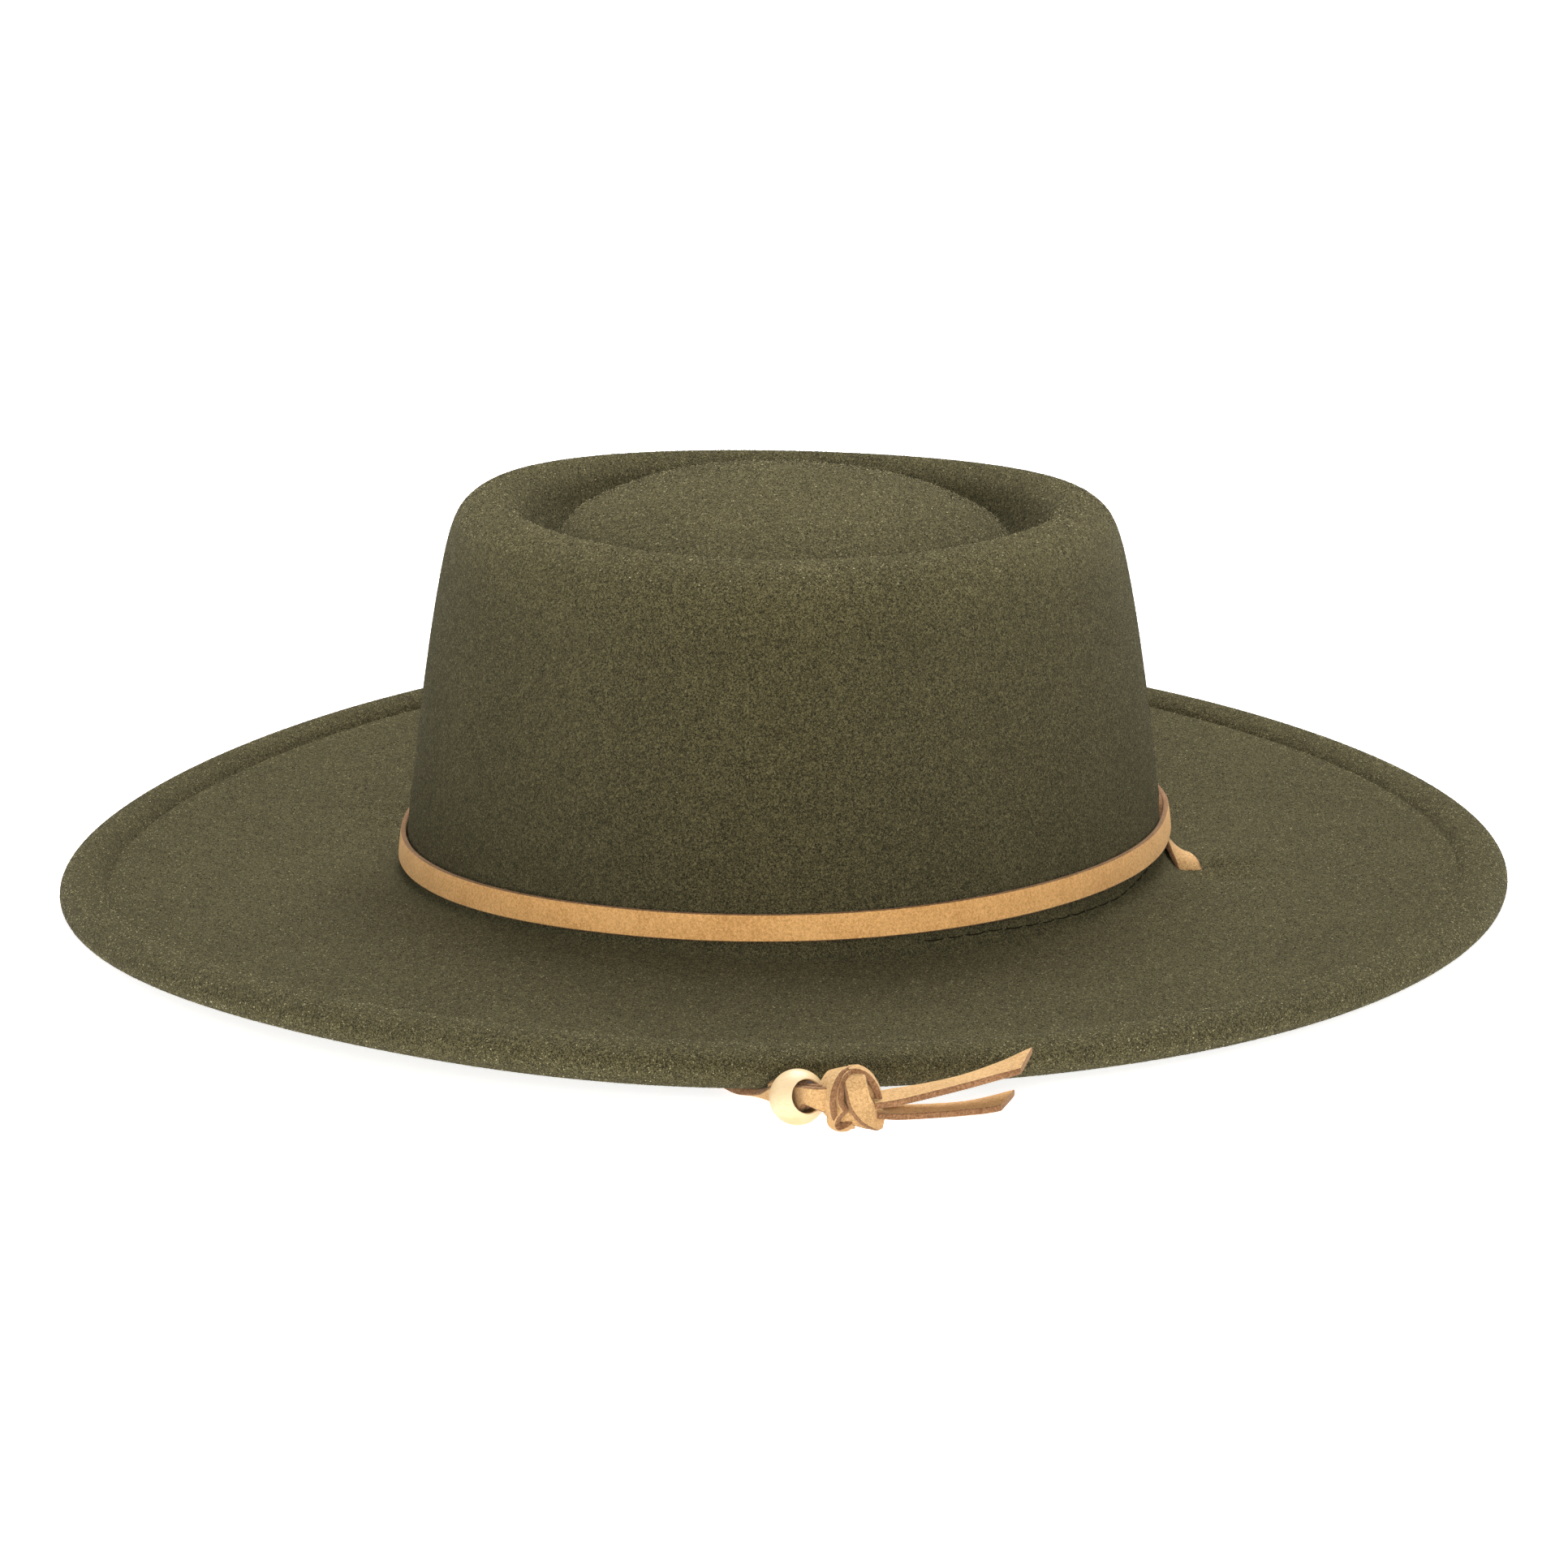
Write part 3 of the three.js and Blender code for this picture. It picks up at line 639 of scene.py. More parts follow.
LEFT_ROUTE = [
    [-72.9, 59.9, 16, 0, 0, -1],
    [-76.8, 53.6, 15.2, -0.15, 0.02, -0.98],
    [-80.6, 47.6, 13.4, -0.4, 0.05, -0.9],
    [-84, 42.4, 11.2, -0.72, 0.1, -0.68],
    [-86.5, 37.6, 9.6, -0.88, 0.12, -0.45],
    [-88.4, 33.2, 8.6, -0.93, 0.13, -0.33],
    [-89.8, 30.2, 7.3, -0.97, 0.14, -0.2],
    [-90.6, 28.7, 4.8, -0.99, 0.14, 0, 0.9],
    [-90.8, 28.1, 2.9, -0.99, 0.14, 0, 0.9],
    [-91.1, 26.8, 1.7, -0.99, 0.14, 0],
    [-91.4, 25, 1.05],
    [-92.4, 18.5, FLOOR_Z],
    [-94, 6, FLOOR_Z],
    [-95, -12, FLOOR_Z],
    [-94, -38, FLOOR_Z],
    [-86, -68, FLOOR_Z],
    [-67, -97, FLOOR_Z],
    [-38, -121, FLOOR_Z],
    [-12, -139, FLOOR_Z],
    [2.5, -155, FLOOR_Z],
    [13.2, -169.8, FLOOR_Z + 0.2, -0.84, -0.54, 0],
    [17.2, -176.4, 1.8, -0.75, -0.5, 0.5, 0.7],
    [20.2, -181.8, 3.5, -0.45, -0.3, 0.85, 0.75],
    [22.2, -186.5, 5.2, -0.15, -0.1, 1, 0.85],
    [24.8, -190.1, 5.8, 0, 0, 1, 0.95],
    [26, -192.1, 6.4, 0, 0, 1, 0.9],
    [27, -193.3, 7.2, 0, 0, 1, 0.65],
    [28.6, -195, 7.6, 0, 0, 1, 0.65],
    [30.9, -195.6, 7.3, 0, 0, 1, 0.8],
    [33.8, -194.6, 6.8, 0, 0, 1, 0.95],
]
UPPER_TAIL_ROUTE = [
    [40.6, -192.4, 6.1, 0.5, -0.85, -0.14, 0.9],
    [44.8, -189.9, 6.3, 0.52, -0.84, -0.12],
    [52.2, -185.4, 6.8, 0.54, -0.84, 0],
    [59.6, -180.3, 7.5, 0.56, -0.83, 0.05],
    [66.4, -175, 8.6, 0.6, -0.8, -0.03],
    [70.5, -171.8, 9.6, 0.62, -0.78, -0.14],
]
LOWER_TAIL_ROUTE = [
    [41.2, -193, 4.2, 0.5, -0.85, -0.1, 0.9],
    [44.9, -190.2, 3.3, 0.52, -0.84, -0.08],
    [52.2, -185.6, 2.4, 0.54, -0.84, -0.03],
    [59.8, -181.2, 2.0, 0.56, -0.83, 0],
    [64.4, -178.4, 2.2, 0.58, -0.81, -0.05],
    [67.1, -176.4, 2.4, 0.6, -0.8, -0.05],
]
TAIL_SLANT = -7.0  # how far one side of a tail's end is behind the other
SLANT_RUN = 12.0


def add_cord(name, rows):
    """A free stretch of the chin lace, with its middle line and its length in metres."""
    stations = route_stations(rows, CORD_STEPS)
    path = np.array([s[0] for s in stations]) * MM
    return add_lace(name, stations), path, float(np.linalg.norm(np.diff(path, axis=0), axis=1).sum())


strand_right, path_right, length_right = add_cord("chin_lace_right_suede", RIGHT_ROUTE)
strand_left, path_left, length_left = add_cord("chin_lace_left_suede", LEFT_ROUTE)


# Felt
AROUND_STEPS = 380
PROFILE_STEPS = 112
ROLL_STEPS = 24
INNER_EVERY = 2
PROFILE_PER_ROW = 40
POLE_SHARE = 0.5
BEND_WEIGHT = 12.0
WALL_CHANGE = (86, 96)  # half widths between which the wall turns from the crown's to the brim's
CREASE_PINCH = 0.8
FOOT_DENSE = {"more": 0.9, "from": (84, 88), "to": (112, 124)}  # rows are closer there
SLIT_DENSE = {"more": 1.4, "angles": (3, 163, 363), "spread": 9}  # and columns here
TURN_SAMPLES = 3600
SLIT_FOLDS = [
    # waves of the felt beside each slit: height, how far behind the slit, spread
    {"height": 1.5, "behind": -0.8, "spread": 3.0},
    {"height": -2.3, "behind": 5.0, "spread": 4.2},
    {"height": -0.8, "behind": -8.5, "spread": 5.0},
]
FOLD_REACH = {"middle": 6.0, "spread": 10.0, "from": (-4, 3)}
SLIT_PULL = {"depth": 1.1, "across": 8.0, "along": 9.0}
FOLD_FROM = (87.5, 91)
PRESS_FROM, PRESS_TO = (-7, -3.5), (2.6, 5.5)  # heights over the band's middle
PRESS_FADES = (94, 98)
PRESS_OUTSIDE = 60
CREASES = {"height": 0.16, "angle": 282, "spread": 17, "from": (86.45, 87.1), "to": (90, 94)}
CREASE_WAVE, CREASE_WANDER, CREASE_TURNS = 3.1, 0.7, 9


def inner_rows(outer):
    """The felt's inner face: each row moved inward by the wall, square to the profile."""
    before = np.vstack([outer[:1], outer[:-1]])
    after = np.vstack([outer[1:], outer[-1:]])
    wide, deep, rise = (after - before)[:, :3].T
    long, long_deep = np.hypot(wide, rise), np.hypot(deep, rise)
    wall = CROWN_WALL + (BRIM_WALL - CROWN_WALL) * smoothstep(outer[:, 0], *WALL_CHANGE)
    inner = outer.copy()
    inner[:, 0] = np.maximum(0, outer[:, 0] + wall * rise / long)
    inner[:, 1] = np.maximum(0, outer[:, 1] + wall * rise / long_deep)
    inner[:, 2] = outer[:, 2] - wall * (wide / long + deep / long_deep) / 2
    return inner


def roll_rows():
    """The thick edge, from the crease on top round the outside to the crease below."""
    crease = math.pi - math.asin(CREASE_PINCH * BRIM_WALL / 2 / ROLL_HALF_HEIGHT)
    turn = crease * np.linspace(1, -1, ROLL_STEPS + 1)
    inward = ROLL_RADIUS * (np.cos(turn) - 1)
    still, moving = np.zeros(len(turn)), np.ones(len(turn))
    height = ROLL_HALF_HEIGHT * np.sin(turn)
    return np.array([BRIM_HALF_WIDTH + inward, BRIM_HALF_DEPTH + inward, height, still, moving]).T


def from_slit(slit, x, y):
    """How far a place is outward of a slit along it, and how far behind it."""
    turn = math.radians(slit["turn"])
    side = math.copysign(1, slit["x"])
    ahead, over = x - slit["x"], y - slit["y"]
    out = side * (ahead * math.cos(turn) + over * math.sin(turn))
    return out, over * math.cos(turn) - ahead * math.sin(turn)


def pucker(x, y):
    """How the felt beside each slit is drawn up and down."""
    drawn = 0.0
    for slit in SLITS:
        out, back = from_slit(slit, x, y)
        reach = slit["fold"] * bell(out, FOLD_REACH["middle"], FOLD_REACH["spread"])
        reach = reach * smoothstep(out, *FOLD_REACH["from"])
        waves = sum(fold["height"] * bell(back, fold["behind"], fold["spread"]) for fold in SLIT_FOLDS)
        near = (out / SLIT_PULL["across"]) ** 2 + (back / SLIT_PULL["along"]) ** 2
        drawn = drawn + reach * waves - SLIT_PULL["depth"] * np.exp(-near)
    return drawn


def pressed_in(height, turns):
    """How far the wall is pressed in where the lace lies between it and the band."""
    over_band = height - series(BAND_RIDE, np.radians(turns))
    return dent(turns) * smoothstep(over_band, *PRESS_FROM) * (1 - smoothstep(over_band, *PRESS_TO))


def creases(wide, height, turns):
    """Small level folds in the felt at the front of the crown's foot."""
    front = bell(turns, CREASES["angle"], CREASES["spread"])
    foot = smoothstep(wide, *CREASES["from"]) * (1 - smoothstep(wide, *CREASES["to"]))
    wander = CREASE_WANDER * np.sin(np.radians(turns) * CREASE_TURNS)
    return CREASES["height"] * front * foot * np.sin(height * CREASE_WAVE + wander)


def felt_surface():
    """Rings of felt points in millimetres, with the place of each group of rows."""
    dense = spline(FELT_PROFILE, 0, POLE_SHARE, PROFILE_PER_ROW)
    middle = (dense[1:, 0] + dense[:-1, 0]) / 2
    foot = smoothstep(middle, *FOOT_DENSE["from"]) - smoothstep(middle, *FOOT_DENSE["to"])
    outer = spread(dense, dense[:, [0, 2]], PROFILE_STEPS, BEND_WEIGHT, 1 + FOOT_DENSE["more"] * foot)
    inner = inner_rows(outer)[::-1][::INNER_EVERY]
    rows = np.vstack([outer[1:], roll_rows(), inner[:-1]])
    turns = np.linspace(0, 2 * math.pi, TURN_SAMPLES)
    near = sum(bell(np.degrees(turns), at, SLIT_DENSE["spread"]) for at in SLIT_DENSE["angles"])
    total = np.cumsum(1 + SLIT_DENSE["more"] * near)
    around = np.interp(np.linspace(total[0], total[-1], AROUND_STEPS, endpoint=False), total, turns)
    wide, deep, height, lean, wave = (rows[:, k][:, None] for k in range(5))
    degrees = np.degrees(around)
    inward = pressed_in(height, degrees) - creases(wide, height, degrees)
    inward = inward * (1 - smoothstep(wide, *PRESS_FADES)) * (wide > PRESS_OUTSIDE)
    x = (wide - inward) * np.cos(around) + lean * CROWN_SHIFT
    y = (deep - inward) * np.sin(around)
    z = BRIM_LEVEL + height + lean * series(CROWN_LEAN, around) + wave * series(BRIM_WAVE, around)
    z = z + pucker(x, y) * smoothstep(wide, *FOLD_FROM)
    under = np.maximum(0, -height / ROLL_HALF_HEIGHT) * (wide > BRIM_HALF_WIDTH - 2 * ROLL_RADIUS)
    z = z - ROLL_SAG * under * bell(degrees, SAG_ANGLE, SAG_SPREAD)
    points = np.stack([x, y, np.maximum(0, z)], axis=-1)
    groups = {"outer": len(outer) - 1, "roll": len(outer) + ROLL_STEPS}
    return points, rows, groups, (outer[0], inner[-1])


def felt_body():
    points, rows, groups, poles = felt_surface()
    rings, count = points.shape[:2]
    flat = points.reshape(-1, 3)
    faces = ring_faces(rings, count, False)
    tops = [[0, 0, BRIM_LEVEL + p[2]] for p in poles]
    top, under, last = len(flat), len(flat) + 1, (rings - 1) * count
    faces += [(top, (k + 1) % count, k) for k in range(count)]
    faces += [(under, last + k, last + (k + 1) % count) for k in range(count)]
    body = mesh_piece("felt_hat_body", np.vstack([flat, tops]), faces, FELT)
    faces_out(body)
    return body, points, rows, groups


SLIT_HALF_LONG = 3.6
SLIT_HALF_ACROSS = 1.35
SLIT_FULLNESS = 0.3
SLIT_SIDES = 24
SLIT_CUT_HEIGHTS = (-3, 18)


def cut_slits(body):
    """Cuts a narrow lens-shaped slit through the brim on each side."""
    for slit in SLITS:
        turn = Matrix.Rotation(math.radians(slit["turn"]), 2)
        middle = Vector((slit["x"], slit["y"]))
        ring = []
        for a in np.linspace(0, 2 * math.pi, SLIT_SIDES, endpoint=False):
            across = SLIT_HALF_ACROSS * math.sin(a) * abs(math.sin(a)) ** SLIT_FULLNESS
            ring.append(turn @ Vector((SLIT_HALF_LONG * math.cos(a), across)) + middle)
        points = [(p.x, p.y, z) for z in SLIT_CUT_HEIGHTS for p in ring]
        ends = [tuple(range(SLIT_SIDES))[::-1], tuple(range(SLIT_SIDES, 2 * SLIT_SIDES))]
        faces = ring_faces(2, SLIT_SIDES, False) + ends
        cutter = mesh_piece("slit_cutter", points, faces, FELT)
        faces_out(cutter)
        cut = body.modifiers.new("slit", "BOOLEAN")
        cut.operation, cut.solver, cut.object = "DIFFERENCE", "EXACT", cutter
        settle(body)
        bpy.data.objects.remove(cutter)
    body.data.shade_smooth()
    body.data.set_sharp_from_angle(angle=math.radians(FELT_SHARP))


def settle(piece):
    """Makes a piece's modifiers part of its mesh."""
    shown = piece.evaluated_get(bpy.context.evaluated_depsgraph_get())
    made = bpy.data.meshes.new_from_object(shown)
    piece.modifiers.clear()
    piece.data = made


# Repeated things, each by a tree of Geometry Nodes
def tree_with_inputs(name, inputs):
    """An empty tree for a modifier, with named inputs, and its way in and out."""
    tree = bpy.data.node_groups.new(name, "GeometryNodeTree")
    tree.interface.new_socket("Geometry", in_out="INPUT", socket_type="NodeSocketGeometry")
    for key, kind in inputs.items():
        tree.interface.new_socket(key, in_out="INPUT", socket_type=kind)
    tree.interface.new_socket("Geometry", in_out="OUTPUT", socket_type="NodeSocketGeometry")
    return tree, add_node(tree, "NodeGroupInput").outputs, add_node(tree, "NodeGroupOutput")


def finish_tree(tree, geometry, out, material):
    """Ends a tree with plain geometry and its material."""
    real = add_node(tree, "GeometryNodeRealizeInstances", None, {"Geometry": geometry})
    sockets = {"Geometry": real.outputs[0], "Material": material}
    dressed = add_node(tree, "GeometryNodeSetMaterial", None, sockets)
    tree.links.new(dressed.outputs[0], out.inputs[0])


def run_tree(name, source, tree, values):
    """A plain mesh object that the tree makes on the source, which is then removed."""
    grown = source.modifiers.new(name, "NODES")
    grown.node_group = tree
    for item in tree.interface.items_tree:
        if item.in_out == "INPUT" and item.name in values:
            grown[item.identifier] = values[item.name]
    shown = source.evaluated_get(bpy.context.evaluated_depsgraph_get())
    mesh = bpy.data.meshes.new_from_object(shown)
    source.modifiers.clear()
    bpy.data.objects.remove(source)
    return new_object(name, mesh)


# A fibre of unit size
FIBRE_ROOT, FIBRE_TIP = (0, 0, -0.04), (0.7, 0.25, 0.65)
FIBRE_HALF_WIDE = 0.08
FIBRE_SIZES = (0.5, 1.5)
FIBRE_TILTS = (-0.35, -0.5, 0), (0.35, 0.35, 6.283)
TILT_SEED, TONE_SEED = 7, 3


def random_between(tree, low, high, seed):
    """A random number between two, its own for each instance."""
    sockets = {2: low, 3: high, "Seed": seed}
    node = add_node(tree, "FunctionNodeRandomValue", {"data_type": "FLOAT"}, sockets)
    return Value(tree, node.outputs[1])


def fibre_tree(material):
    """Short fibres scattered over a surface, each leaning its own way."""
    kinds = {"Density": "NodeSocketFloat", "Length": "NodeSocketFloat", "Seed": "NodeSocketInt"}
    tree, given, out = tree_with_inputs("fibres", kinds)
    sockets = {"Mesh": given["Geometry"], "Density": given["Density"], "Seed": given["Seed"]}
    points = add_node(tree, "GeometryNodeDistributePointsOnFaces", {"use_legacy_normal": False}, sockets)
    sockets = {"Start": FIBRE_ROOT, "End": FIBRE_TIP}
    line = add_node(tree, "GeometryNodeCurvePrimitiveLine", None, sockets)
    sockets = {"Start": (-FIBRE_HALF_WIDE, 0, 0), "End": (FIBRE_HALF_WIDE, 0, 0)}
    blade = add_node(tree, "GeometryNodeCurvePrimitiveLine", None, sockets)
    sockets = {"Curve": line.outputs[0], "Profile Curve": blade.outputs[0]}
    fibre = add_node(tree, "GeometryNodeCurveToMesh", None, sockets)
    long = random_between(tree, *FIBRE_SIZES, given["Seed"]) * Value(tree, given["Length"])
    sockets = {0: FIBRE_TILTS[0], 1: FIBRE_TILTS[1], "Seed": TILT_SEED}
    tilt = add_node(tree, "FunctionNodeRandomValue", {"data_type": "FLOAT_VECTOR"}, sockets)
    turn = add_node(tree, "FunctionNodeEulerToRotation", None, {0: tilt.outputs[0]})
    sockets = {0: points.outputs["Rotation"], 1: turn.outputs[0]}
    rotation = add_node(tree, "FunctionNodeRotateRotation", {"rotation_space": "LOCAL"}, sockets)
    sockets = {"Points": points.outputs["Points"], "Instance": fibre.outputs[0]}
    sockets.update({"Rotation": rotation.outputs[0], "Scale": long})
    placed = add_node(tree, "GeometryNodeInstanceOnPoints", None, sockets)
    settings = {"data_type": "FLOAT", "domain": "INSTANCE"}
    tone = random_between(tree, 0.0, 1.0, TONE_SEED)
    sockets = {"Geometry": placed.outputs[0], "Name": "tone", "Value": tone}
    toned = add_node(tree, "GeometryNodeStoreNamedAttribute", settings, sockets)
    finish_tree(tree, toned.outputs[0], out, material)
    return tree


NAP_LOWEST = 0.1


def nap_over(name, first, last, count, length_mm, seed, tree):
    """Fibres over the felt between two of its rings."""
    rings = felt_points[first : last + 1]
    faces = ring_faces(len(rings), rings.shape[1], False)
    source = mesh_piece(name + "_ground", rings.reshape(-1, 3), faces, FELT)
    area = sum(p.area for p in source.data.polygons)
    values = {"Density": count / area, "Length": length_mm * MM, "Seed": seed}
    nap = run_tree(name, source, tree, values)
    places = np.empty(len(nap.data.vertices) * 3, np.float32)
    nap.data.vertices.foreach_get("co", places)
    places[2::3] = np.maximum(places[2::3], NAP_LOWEST * MM)
    nap.data.vertices.foreach_set("co", places)
    return nap


body, felt_points, felt_rows, groups = felt_body()
cut_slits(body)
band = crown_band()
lace_back = chin_lace_back()


def first_ring(half_width):
    """The first ring of the felt's outer face that is wider than a half width."""
    return int(np.argmax(felt_rows[: groups["outer"], 0] > half_width))


TOP_TO, CROWN_TO, BRIM_FROM = 74, 86.4, 92.5  # half widths; the fold at the crown's foot has no nap
UNDER_RINGS = 7  # rings of the rolled edge that lie on its underside and have none either
brim_to = groups["outer"] - 1
NAP_AREAS = [
    # name, first and last ring, number of fibres, their length in millimetres, seed
    ("nap_of_top", 0, first_ring(TOP_TO), 85000, 1.6, 5),
    ("nap_of_crown", first_ring(TOP_TO), first_ring(CROWN_TO), 85000, 1.0, 1),
    ("nap_of_brim", first_ring(BRIM_FROM), brim_to, 95000, 1.5, 2),
    ("nap_of_edge", brim_to, groups["roll"] - UNDER_RINGS, 90000, 1.35, 3),
]
fibres = fibre_tree(NAP)
naps = [nap_over(*area, fibres) for area in NAP_AREAS]


# Bead
BEAD_SIDES = 72
BEAD_ROWS = 40
MOUTH_ROUND = 0.45
BEAD_RIM = [
    # out from the bore, past the bead's end, share of the bore's tone
    (0.28, 0.16, 0.05),
    (0.1, 0.03, 0.3),
    (0.02, -0.3, 0.7),
    (0.0, -0.9, 1.0),
    (0.0, -1.7, 1.0),
]


def bead():
    mouth = math.asin((BEAD_BORE + MOUTH_ROUND) / BEAD_RADIUS)
    end = BEAD_RADIUS * math.cos(mouth)
    rows = []
    for turn in np.linspace(mouth, math.pi - mouth, BEAD_ROWS):
        rows.append((BEAD_RADIUS * math.sin(turn), BEAD_RADIUS * math.cos(turn), 0.0))
    rows += [(BEAD_BORE + out, -end - past, share) for out, past, share in BEAD_RIM]
    rows += [(BEAD_BORE + out, end + past, share) for out, past, share in reversed(BEAD_RIM)]
    points, tone = [], []
    turn = Vector((0, 0, 1)).rotation_difference(BEAD_AXIS)
    for radius, height, share in rows:
        for a in np.linspace(0, 2 * math.pi, BEAD_SIDES, endpoint=False):
            points.append(BEAD_AT + turn @ Vector((radius * math.cos(a), radius * math.sin(a), height)))
            tone.append(share)
    faces = ring_faces(len(rows), BEAD_SIDES, True)
    piece = mesh_piece("turned_bead", points, faces, WOOD, [("bore", "POINT", tone)])
    faces_out(piece)
    return piece


wooden_bead = bead()

# Knot: ribbons in the picture's own directions, to the right, toward the viewer and up
KNOT_AXES = np.array([[0.9925, 0.1219, 0], [0.1219, -0.9925, 0], [0, 0, 1.0]])
KNOT_TURNS = {
    # right, near, up, then the width direction in the same terms, then the share of the width
    "collar": [
        [-4.7, 1.6, -3.4, 0.55, 0.6, -0.5, 0.9],
        [-5.5, 3, -1.5, 0.5, 0.85, -0.15, 0.95],
        [-5.8, 3.4, 1, 0.5, 0.86, 0.05, 0.95],
        [-5.3, 2.9, 3.2, 0.55, 0.75, 0.3, 0.95],
        [-4.3, 1.3, 4.7, 0.65, 0.45, 0.4, 0.95],
        [-2.9, -0.8, 5.3, 0.8, 0.15, 0.25, 0.95],
        [-1.2, -2.8, 4.8, 0.95, 0, 0.1, 0.9],
        [0.3, -4.1, 2.6, 1, 0, 0, 0.9],
        [0.4, -4.3, 0, 1, 0, 0, 0.9],
    ],
    "second_turn": [
        [-1.4, 0.6, 5.6, 0.75, 0.3, 0.25, 0.55],
        [-2.7, 2.3, 4.7, 0.6, 0.7, 0.25, 0.55],
        [-3.4, 3.7, 2.8, 0.5, 0.85, 0.1, 0.55],
        [-3.4, 4.1, 0.6, 0.5, 0.85, 0, 0.55],
        [-2.6, 4, -1.2, 0.6, 0.75, 0, 0.55],
    ],
    "diagonal": [
        [-0.3, -1.5, 4.6, 0.9, 0.2, 0.1, 0.7],
        [-0.1, 1.4, 5.1, 0.95, 0, 0, 0.75],
        [0.3, 4, 3.4, 0.9, -0.35, 0.2, 0.8],
        [0.9, 4.6, 0.6, 0.75, -0.5, 0.4, 0.85],
        [2.3, 4.4, -1.8, 0.55, -0.6, 0.55, 0.85],
        [4.2, 3.2, -3.4, 0.4, -0.6, 0.65, 0.8],
        [5.4, 1.2, -4, 0.35, -0.5, 0.7, 0.7],
    ],
    "shoulder": [
        [-1.2, 0.3, 5.9, 0, 1, 0, 0.55],
        [0.8, 0.3, 5.9, 0, 1, 0, 0.55],
        [2.6, 0.4, 4.9, 0, 1, 0, 0.55],
        [3.8, 0.5, 3.3, 0, 1, 0, 0.55],
        [4.6, 0.5, 1.5, 0, 1, 0, 0.55],
        [4.9, 0.4, 0, 0, 1, 0, 0.55],
    ],
    "lower_face": [
        [-3.4, 2.4, -2.4, 0.3, 0.1, 0.95, 0.62],
        [-1, 2.9, -2.6, 0.3, 0.1, 0.95, 0.62],
        [1.3, 3.1, -3.3, 0.3, 0.1, 0.95, 0.62],
        [3.2, 2.4, -4, 0.3, 0.1, 0.95, 0.62],
        [4.8, 0.8, -4.3, 0.3, 0.1, 0.95, 0.62],
    ],
    "behind_loop": [
        [-4.3, 2, -2.4, 0.3, 0.3, 0.9, 0.5],
        [-3.2, 2.1, -3.8, 0.5, 0.2, 0.8, 0.5],
        [-1.6, 2, -4.4, 0.3, 0.2, 0.9, 0.5],
        [0, 1.8, -4.4, 0.3, 0.2, 0.9, 0.5],
    ],
    "loop": [
        [-2.2, 3.8, -0.6, 0.62, 0.6, -0.45, 0.45],
        [-3.8, 4, -2.2, 0.62, 0.6, -0.45, 0.45],
        [-4.4, 3.8, -3.9, 0.7, 0.6, -0.3, 0.45],
        [-3.7, 3.2, -5.1, 0.6, 0.7, 0.1, 0.45],
        [-2.1, 2.8, -5.3, 0.2, 0.7, 0.6, 0.45],
        [-0.6, 2.4, -4.5, 0.1, 0.6, 0.7, 0.45],
    ],
}
KNOT_CORE = (4.4, 3.2, 4.9)
CORE_SEGMENTS, CORE_RINGS = 40, 24
CORE_CUT = 0.35


def knot():
    """The turns of both strands round a plain core, as one piece."""
    points, faces, cuts = [], [], []

    def add(new_points, new_faces, new_cuts):
        start = len(points)
        points.extend(new_points)
        faces.extend(tuple(start + v for v in f) for f in new_faces)
        cuts.extend(new_cuts)

    for rows in KNOT_TURNS.values():
        table = np.array(rows, float)
        table[:, :3] = table[:, :3] @ KNOT_AXES + np.array(KNOT_AT)
        table[:, 3:6] = table[:, 3:6] @ KNOT_AXES
        add(*lace_mesh(route_stations(table.tolist(), SHORT_STEPS)))
    core = bmesh.new()
    bmesh.ops.create_uvsphere(core, u_segments=CORE_SEGMENTS, v_segments=CORE_RINGS, radius=1)
    rounded = [np.array(v.co) * KNOT_CORE @ KNOT_AXES + np.array(KNOT_AT) for v in core.verts]
    add(rounded, [[v.index for v in f.verts] for f in core.faces], [CORE_CUT] * len(core.faces))
    core.free()
    piece = mesh_piece("overhand_knot", points, faces, LACE_SUEDE, [("cut_edge", "FACE", cuts)], LACE_SHARP)
    faces_out(piece)
    return piece


# Stitches: a dark thread that dips in and out of the felt at the crown's foot, right of its front
SEAM = [
    # angle in degrees, height over the brim's middle surface
    [-60, 5.7],
    [-50.5, 5.9],
    [-42, 5.2],
    [-33, 4.9],
    [-23.5, 4.7],
    [-11, 6.5],
    [-4, 7.6],
]
STITCH_GAP = 5.2
SEAM_STEPS = 160
SEAM_CLEAR = 0.12
STITCH_SEED = 4
# A stitch of unit length
STITCH_BOW = {"Resolution": 8, "Start": (0, 0, -0.48), "Middle": (0, 0.1, 0), "End": (0, 0, 0.48)}
THREAD_RING = {"Resolution": 8, "Radius": 0.036}
STITCH_SIZES = (0.7, 1.02)


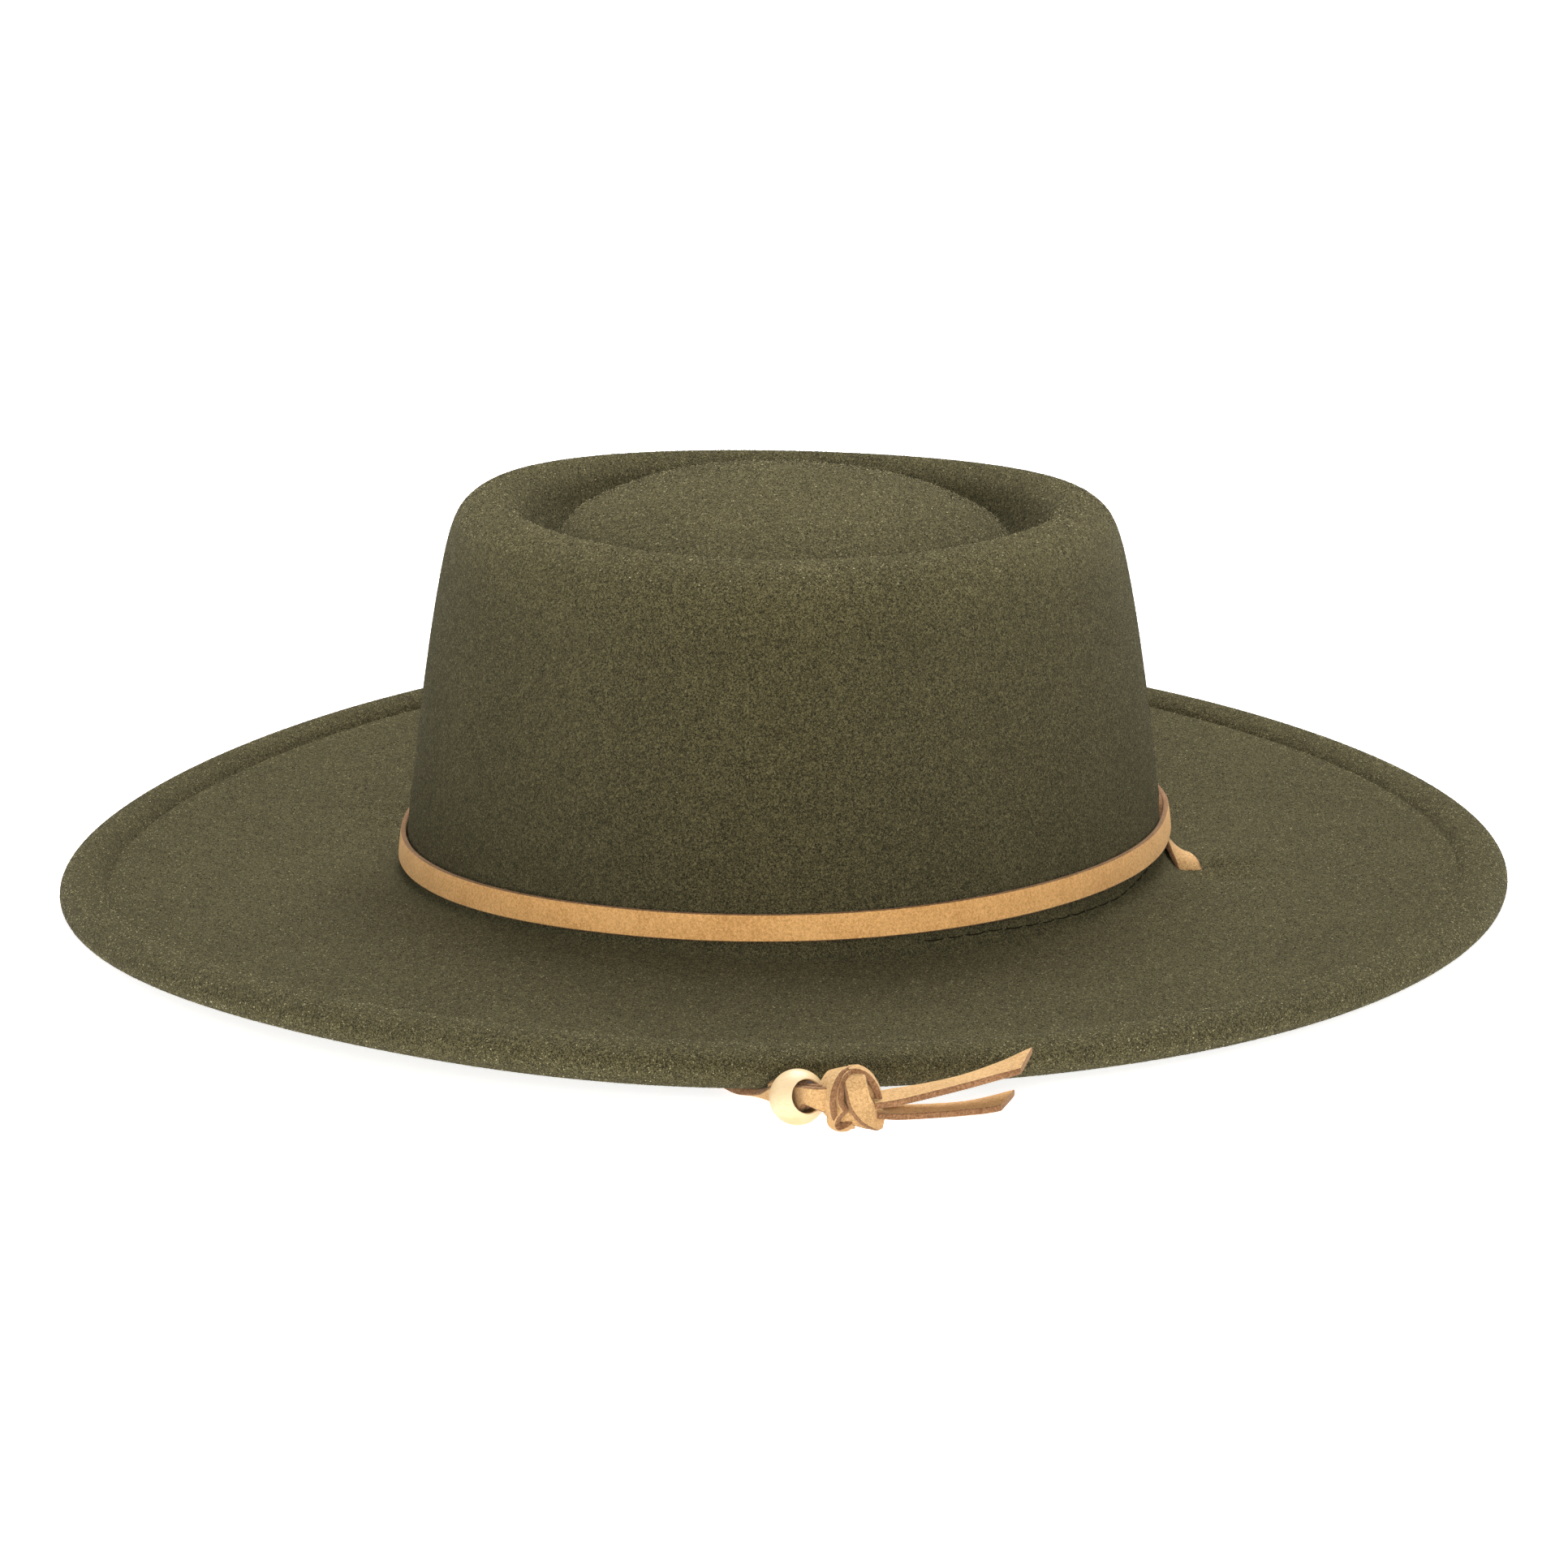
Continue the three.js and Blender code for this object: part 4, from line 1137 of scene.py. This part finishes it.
def stitch_tree(material):
    """Stitches along an edge path: each a thin arc of thread, of its own length and height."""
    kinds = {"Gap": "NodeSocketFloat", "Thread": "NodeSocketFloat", "Seed": "NodeSocketInt"}
    tree, given, out = tree_with_inputs("stitches", kinds)
    path = add_node(tree, "GeometryNodeMeshToCurve", None, {"Mesh": given["Geometry"]})
    sockets = {"Curve": path.outputs[0], "Length": given["Gap"]}
    places = add_node(tree, "GeometryNodeCurveToPoints", {"mode": "LENGTH"}, sockets)
    line = add_node(tree, "GeometryNodeCurveQuadraticBezier", None, STITCH_BOW)
    ring = add_node(tree, "GeometryNodeCurvePrimitiveCircle", None, THREAD_RING)
    sockets = {"Curve": line.outputs[0], "Profile Curve": ring.outputs[0]}
    thread = add_node(tree, "GeometryNodeCurveToMesh", None, sockets)
    long = random_between(tree, *STITCH_SIZES, given["Seed"]) * Value(tree, given["Thread"])
    sockets = {"Points": places.outputs["Points"], "Instance": thread.outputs[0]}
    sockets.update({"Rotation": places.outputs["Rotation"], "Scale": long})
    placed = add_node(tree, "GeometryNodeInstanceOnPoints", None, sockets)
    finish_tree(tree, placed.outputs[0], out, material)
    return tree


def stitches():
    angles, heights = np.array(SEAM, float).T
    points = []
    for turn in np.linspace(angles[0], angles[-1], SEAM_STEPS):
        height = float(np.interp(turn, angles, heights))
        wide, deep = crown_at(height)
        a = math.radians(turn)
        z = BRIM_LEVEL + height + series(BRIM_WAVE, a)
        points.append([(wide + SEAM_CLEAR) * math.cos(a), (deep + SEAM_CLEAR) * math.sin(a), z])
    path = bpy.data.meshes.new("seam_path")
    path.from_pydata((np.array(points) * MM).tolist(), [(i, i + 1) for i in range(len(points) - 1)], [])
    source = new_object("seam_path", path)
    values = {"Gap": STITCH_GAP * MM, "Thread": STITCH_GAP * MM, "Seed": STITCH_SEED}
    return run_tree("foot_stitches", source, stitch_tree(THREAD), values)


seam = stitches()
overhand = knot()
upper_stations = route_stations(UPPER_TAIL_ROUTE, SHORT_STEPS)
lower_stations = route_stations(LOWER_TAIL_ROUTE, SHORT_STEPS)
tail_upper = add_lace("tail_upper_suede", upper_stations, slant=TAIL_SLANT)
tail_lower = add_lace("tail_lower_suede", lower_stations, slant=TAIL_SLANT)

# Each piece on its body, the nodes that it stands for and its finish
dressed = [
    (body, ["felt_body"], "felt"),
    *((nap, [], "felt") for nap in naps),
    (seam, [], "felt"),
    (band, ["crown_band"], "suede"),
    (lace_back, ["chin_lace_back"], "suede"),
    (strand_right, ["chin_lace_right"], "suede"),
    (strand_left, ["chin_lace_left"], "suede"),
    (wooden_bead, ["bead"], "bead_wood"),
    (overhand, ["knot"], "suede"),
    (tail_upper, ["tail_upper"], "suede"),
    (tail_lower, ["tail_lower"], "suede"),
]
for piece, nodes, finish in dressed:
    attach(piece, "root")
    if nodes:
        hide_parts(*nodes)


# Floor and light
WHITE = (1, 1, 1, 1)
PAPER_WHITE = (0.87, 0.87, 0.87, 1)
PAPER_GLOW = 0.8
PAPER_REACH, PAPER_DROP = 6000, 0.1
WORLD_LIGHT = 0.12
LAMP_AIM = Vector((0, 0, 0.04))
LAMPS = [
    # name, place in metres, size, watts
    ("behind", (0.0, 1.65, 2.5), 2.0, 154),
    ("front_box", (0.2, -1.9, 0.4), 1.3, 29),
    ("left_box", (-1.6, -0.2, 0.9), 1.0, 5),
    ("right_box", (1.6, -0.2, 0.9), 1.0, 6),
]


def studio():
    paper = Finish("pale_paper", Base_Color=PAPER_WHITE, Roughness=0.9)
    paper.constants(Emission_Color=WHITE, Emission_Strength=PAPER_GLOW)
    signs = [(-1, -1), (1, -1), (1, 1), (-1, 1)]
    corners = [(x * PAPER_REACH, y * PAPER_REACH, -PAPER_DROP) for x, y in signs]
    floor = mesh_piece("floor", corners, [(0, 1, 2, 3)], paper.material)
    world = bpy.data.worlds.new("studio")
    world.use_nodes = True
    back = world.node_tree.nodes["Background"]
    back.inputs["Color"].default_value = WHITE
    back.inputs["Strength"].default_value = WORLD_LIGHT
    bpy.context.scene.world = world
    for name, place, size, watts in LAMPS:
        data = bpy.data.lights.new(name, "AREA")
        data.shape, data.size, data.energy = "SQUARE", size, watts
        lamp = bpy.data.objects.new(name, data)
        lamp.location = place
        lamp.rotation_euler = (Vector(place) - LAMP_AIM).to_track_quat("Z", "Y").to_euler()
        bpy.context.scene.collection.objects.link(lamp)


studio()
bpy.context.scene.view_settings.view_transform = "Standard"
